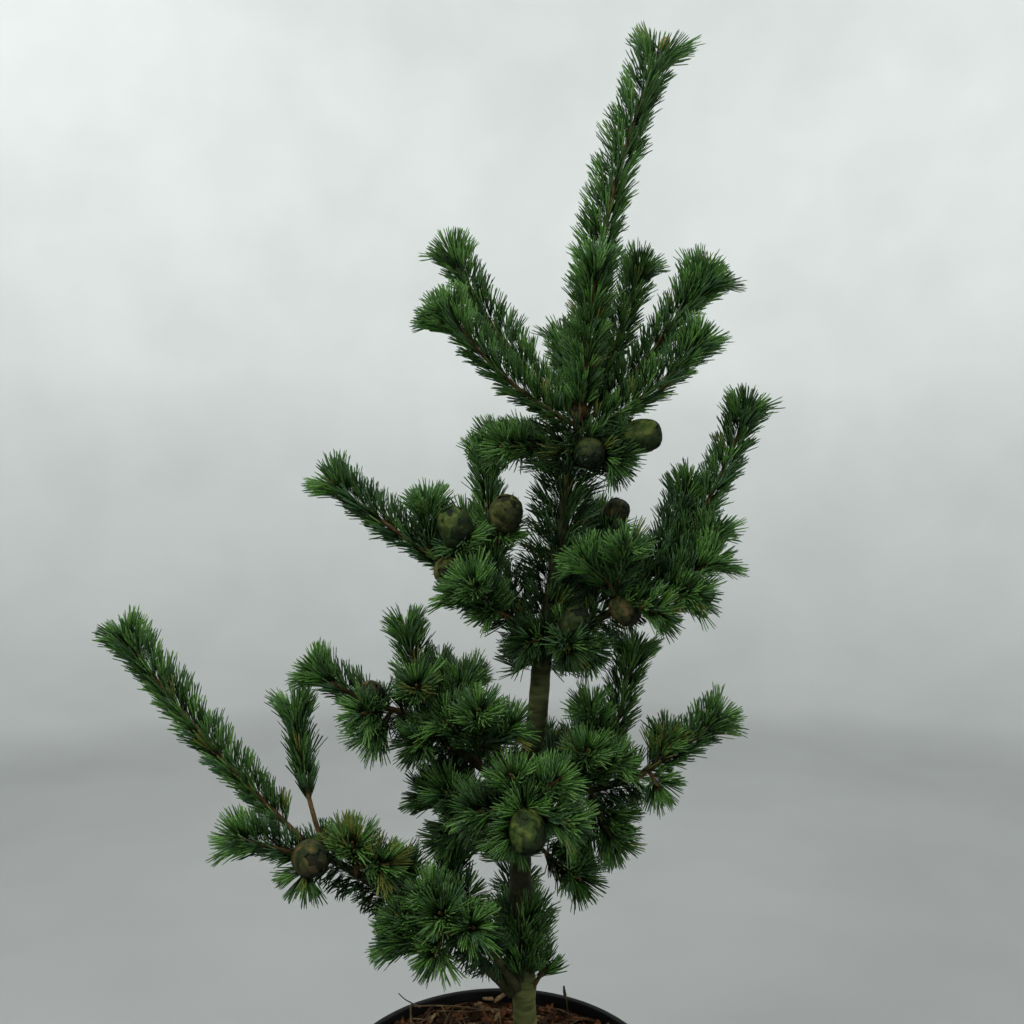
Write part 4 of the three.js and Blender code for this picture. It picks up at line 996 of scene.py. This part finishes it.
def build_buds():
    piles = {name: Pile() for name in BUDS}
    for limb in limbs:
        name = "leader_bud" if limb["mass"] == "leader" else "buds"
        big = BUDS[name][1]
        point, way, _, _ = limb["line"].at(limb["line"].length)
        add_scaled_body(piles[name], point + way * 1.6 * big, way, 2 * big, 3.6 * big, 8, 2.4 * big, 2,
                        0.3 * big, (5, 8))
    for name, (scales, _, colours) in BUDS.items():
        finish = material(scales, colours, 500, 4, 0.6, bump=0.3, bump_scale=2200)
        piles[name].build(name, [finish], "bark")


# The pot and what is in it

def lathe(pile, profile, sides):
    angle = turns(sides)
    rings = [np.stack([r * np.cos(angle), r * np.sin(angle), np.full(sides, z)], 1) for r, z in profile]
    pile.add(np.vstack(rings), ring_quads(len(profile), sides))


def build_pot():
    outer = taper(FOOT_RADIUS, RIM_RADIUS - RIM_PROUD, POT_HEIGHT)
    bottom = POT_HEIGHT - RIM_DEPTH
    inner = RIM_RADIUS - RIM_PROUD - WALL
    profile = [(0.01, 1.2)] + [(FOOT_RADIUS - inset, z) for inset, z in FOOT_RING]
    profile += [(outer(z) + step, z) for z, step in POT_STEPS]
    profile += [(outer(bottom - 3) + 0.7, bottom - 3), (outer(bottom) + 0.9, bottom - 0.8)]
    top = POT_HEIGHT - RIM_ROUND
    outside = RIM_RADIUS - RIM_ROUND
    corners = [(outside, bottom + RIM_ROUND, -90), (outside, top, 0), (inner + RIM_ROUND, top, 90)]
    for r, z, first in corners:
        for a in np.radians(np.arange(first, first + 91, 18)):
            profile.append((r + RIM_ROUND * math.cos(a), z + RIM_ROUND * math.sin(a)))
    profile += [(inner - 0.5 - (POT_HEIGHT - z) * 0.09, z) for z in (POT_HEIGHT - 7, 262, 250, 235)]
    pile = Pile()
    lathe(pile, profile, POT_SIDES)
    plastic = material("pot_plastic", PLASTIC, 40, 6, 0.6, 0.08, bump=0.35, specular=0.12)
    pile.build("pot_shell", [plastic], "pot", ["pot"])


def mulch_height(x, y):
    """The top of the mulch at places on the pot's opening."""
    r = np.hypot(x, y)
    mound = MOUND_RISE * np.clip((MOUND_FOOT_RADIUS - r) / (MOUND_FOOT_RADIUS - MOUND_RADIUS), 0, 1)
    flat = zip(np.ravel(x) / MULCH_WAVE, np.ravel(y) / MULCH_WAVE)
    waves = np.array([noise.fractal(Vector((a, b, 3.1)), 1, 2, 3) for a, b in flat])
    heaped = 4.5 * np.clip((r - 70) / 74, 0, 1) ** 2
    return MULCH_TOP + mound + heaped - 2 + 3 * waves.reshape(np.shape(x))


def build_mulch_bed():
    rings, sides = 46, 110
    reach = np.linspace(0.5, MULCH_RADIUS, rings)[:, None]
    angle = turns(sides)[None]
    x, y = reach * np.cos(angle), reach * np.sin(angle)
    bed = Pile()
    bed.add(np.stack([x, y, mulch_height(x, y)], -1), ring_quads(rings, sides))
    soil = material("mulch_bed", SOIL, 260, 8, 0.95, bump=1.0, bump_scale=700, specular=0.1)
    bed.build("mulch_bed", [soil], "mulch", ["mulch"])


def add_chip(pile, laid):
    """A chip of bark with an uneven outline: thrown at random, or laid at a named place."""
    r, a = CHIP_REACH * math.sqrt(rng.uniform(0.012, 1)), rng.uniform(0, 2 * math.pi)
    x, y = r * math.cos(a), r * math.sin(a)
    long = rng.gamma(3.0, 3.4) + 3
    wide, thick = long * rng.uniform(0.14, 0.5), rng.uniform(0.7, 2.2)
    if laid:
        x, y, height, long, turned = laid
        wide, thick = long * 0.3, 1.2
    corner = 2 * np.pi * (np.arange(CHIP_CORNERS) + rng.uniform(-0.3, 0.3, CHIP_CORNERS)) / CHIP_CORNERS
    reach = rng.uniform(0.75, 1.05, CHIP_CORNERS)
    outline = np.stack([np.cos(corner) * long / 2 * reach, np.sin(corner) * wide / 2 * reach], 1)
    top = np.column_stack([outline * 0.86, rng.normal(thick / 2, 0.25, CHIP_CORNERS)])
    low = np.column_stack([outline, rng.normal(-thick / 2, 0.25, CHIP_CORNERS)])
    spin, pitch, roll = rng.uniform(0, FULL_TURN), rng.normal(0, 0.26), rng.normal(0, 0.26)
    z = float(mulch_height(x, y)) + rng.uniform(0.5, 4.5)
    if laid:
        spin, roll, z = turned, 0.5, height + 2
    turned_way = np.array(Euler((roll, pitch, spin)).to_matrix())
    corners = np.vstack([top, low]) @ turned_way.T + np.array([x, y, z])
    past = np.hypot(corners[:, 0], corners[:, 1]).max() - CHIP_LIMIT
    if past > 0:
        corners[:, :2] -= np.array([x, y]) / math.hypot(x, y) * past
    j = np.arange(CHIP_CORNERS)
    nxt = (j + 1) % CHIP_CORNERS
    edge = np.stack([CHIP_CORNERS + j, CHIP_CORNERS + nxt, nxt, j], 1)
    faces = lid(CHIP_CORNERS)
    pile.add(corners, edge, faces, faces[:, [0, 2, 1]] + CHIP_CORNERS)


def build_chips():
    for tint, (count, laid, colours) in CHIPS.items():
        pile = Pile()
        for chip in [None] * count + laid:
            add_chip(pile, chip)
        finish = material("mulch_" + tint, colours, 300, 6, 0.85, bump=0.8, bump_scale=1200,
                          stretch=(1, 1, 1.8), specular=0.15)
        pile.build("mulch_chips_" + tint, [finish], "mulch", smooth=False)


def build_twigs():
    twigs = Pile()
    shares = np.linspace(-0.5, 0.5, 6)
    for number in range(MULCH_TWIGS + MULCH_STRAWS):
        straw = number >= MULCH_TWIGS
        r, a = TWIG_REACH * math.sqrt(rng.uniform(0.02, 1)), rng.uniform(0, FULL_TURN)
        way, long = rng.uniform(0, FULL_TURN), rng.uniform(18, 42) if straw else rng.uniform(30, 80)
        aside = rng.normal(0, 0.12) * long * (shares ** 2 - 0.25)
        x = r * math.cos(a) + math.cos(way) * long * shares - math.sin(way) * aside
        y = r * math.sin(a) + math.sin(way) * long * shares + math.cos(way) * aside
        if np.hypot(x, y).max() > TWIG_LIMIT:
            continue
        z = mulch_height(x, y) + rng.uniform(2.5, 5.5) + rng.normal(0, 0.5, 6)
        line = Line(np.column_stack([x, y, z]))
        thick = rng.uniform(0.35, 0.6) if straw else rng.uniform(0.7, 1.3)
        add_tube(twigs, line, np.linspace(0, line.length, 10), np.linspace(1.0, 0.6, 10) * thick, 5)
    for points, root, tip in LOOSE_TWIGS:
        line = Line(points)
        add_tube(twigs, line, np.linspace(0, line.length, 24), np.linspace(root, tip, 24), 7)
    pale = material("mulch_twigs", TWIG_COLOURS, 60, 5, 0.85, bump=0.5, bump_scale=1500, specular=0.15)
    twigs.build("mulch_twigs", [pale], "mulch")


def build_stage():
    """A pale floor that runs up into a round wall, so that every view has the same ground."""
    profile = [(r, 0) for r in (0.001, 600, 1500, COVE_RADIUS)]
    for a in np.radians(np.arange(6, 91, 6)):
        profile.append((COVE_RADIUS + COVE * math.sin(a), COVE - COVE * math.cos(a)))
    profile.append((COVE_RADIUS + COVE, WALL_TOP))
    pile = Pile()
    lathe(pile, profile, 128)
    paper = material("stage_paper", PAPER, 3, 2, 0.9, 0.05, specular=0.1)
    # Painted shade: the wall darkens toward the floor
    paint_shade_by_height(paper, WALL_PAINTED_SHADE)
    floor = pile.shape("stage_floor", [paper])


def build_lights():
    for name, place, aim, size, power, colour in LIGHTS:
        data = bpy.data.lights.new(name, "AREA")
        data.shape = "DISK"
        data.size, data.energy, data.color = size, power, colour
        lamp = add_object(name, data)
        lamp.location = place
        lamp.rotation_euler = (Vector(aim) - Vector(place)).to_track_quat("-Z", "Y").to_euler()
        lamp.visible_camera = False
    world = bpy.data.worlds.new("studio")
    bpy.context.scene.world = world
    world.use_nodes = True
    sky = world.node_tree.nodes["Background"].inputs
    sky["Color"].default_value = SKY_COLOUR
    sky["Strength"].default_value = SKY_STRENGTH


def build_camera():
    data = bpy.data.cameras.new("camera")
    data.lens, data.sensor_width, data.clip_end = LENS_MM, SENSOR_MM, 20
    camera = add_object("camera", data)
    camera.location = CAMERA_PLACE
    camera.rotation_euler = (math.radians(CAMERA_TILT_DEG), 0, 0)
    bpy.context.scene.camera = camera


build_camera()
build_trunk()
build_boughs()
build_shoots()
build_needles()
build_cones()
build_buds()
build_pot()
build_mulch_bed()
build_chips()
build_twigs()
build_stage()
build_lights()
bpy.context.scene.view_settings.view_transform = "Standard"
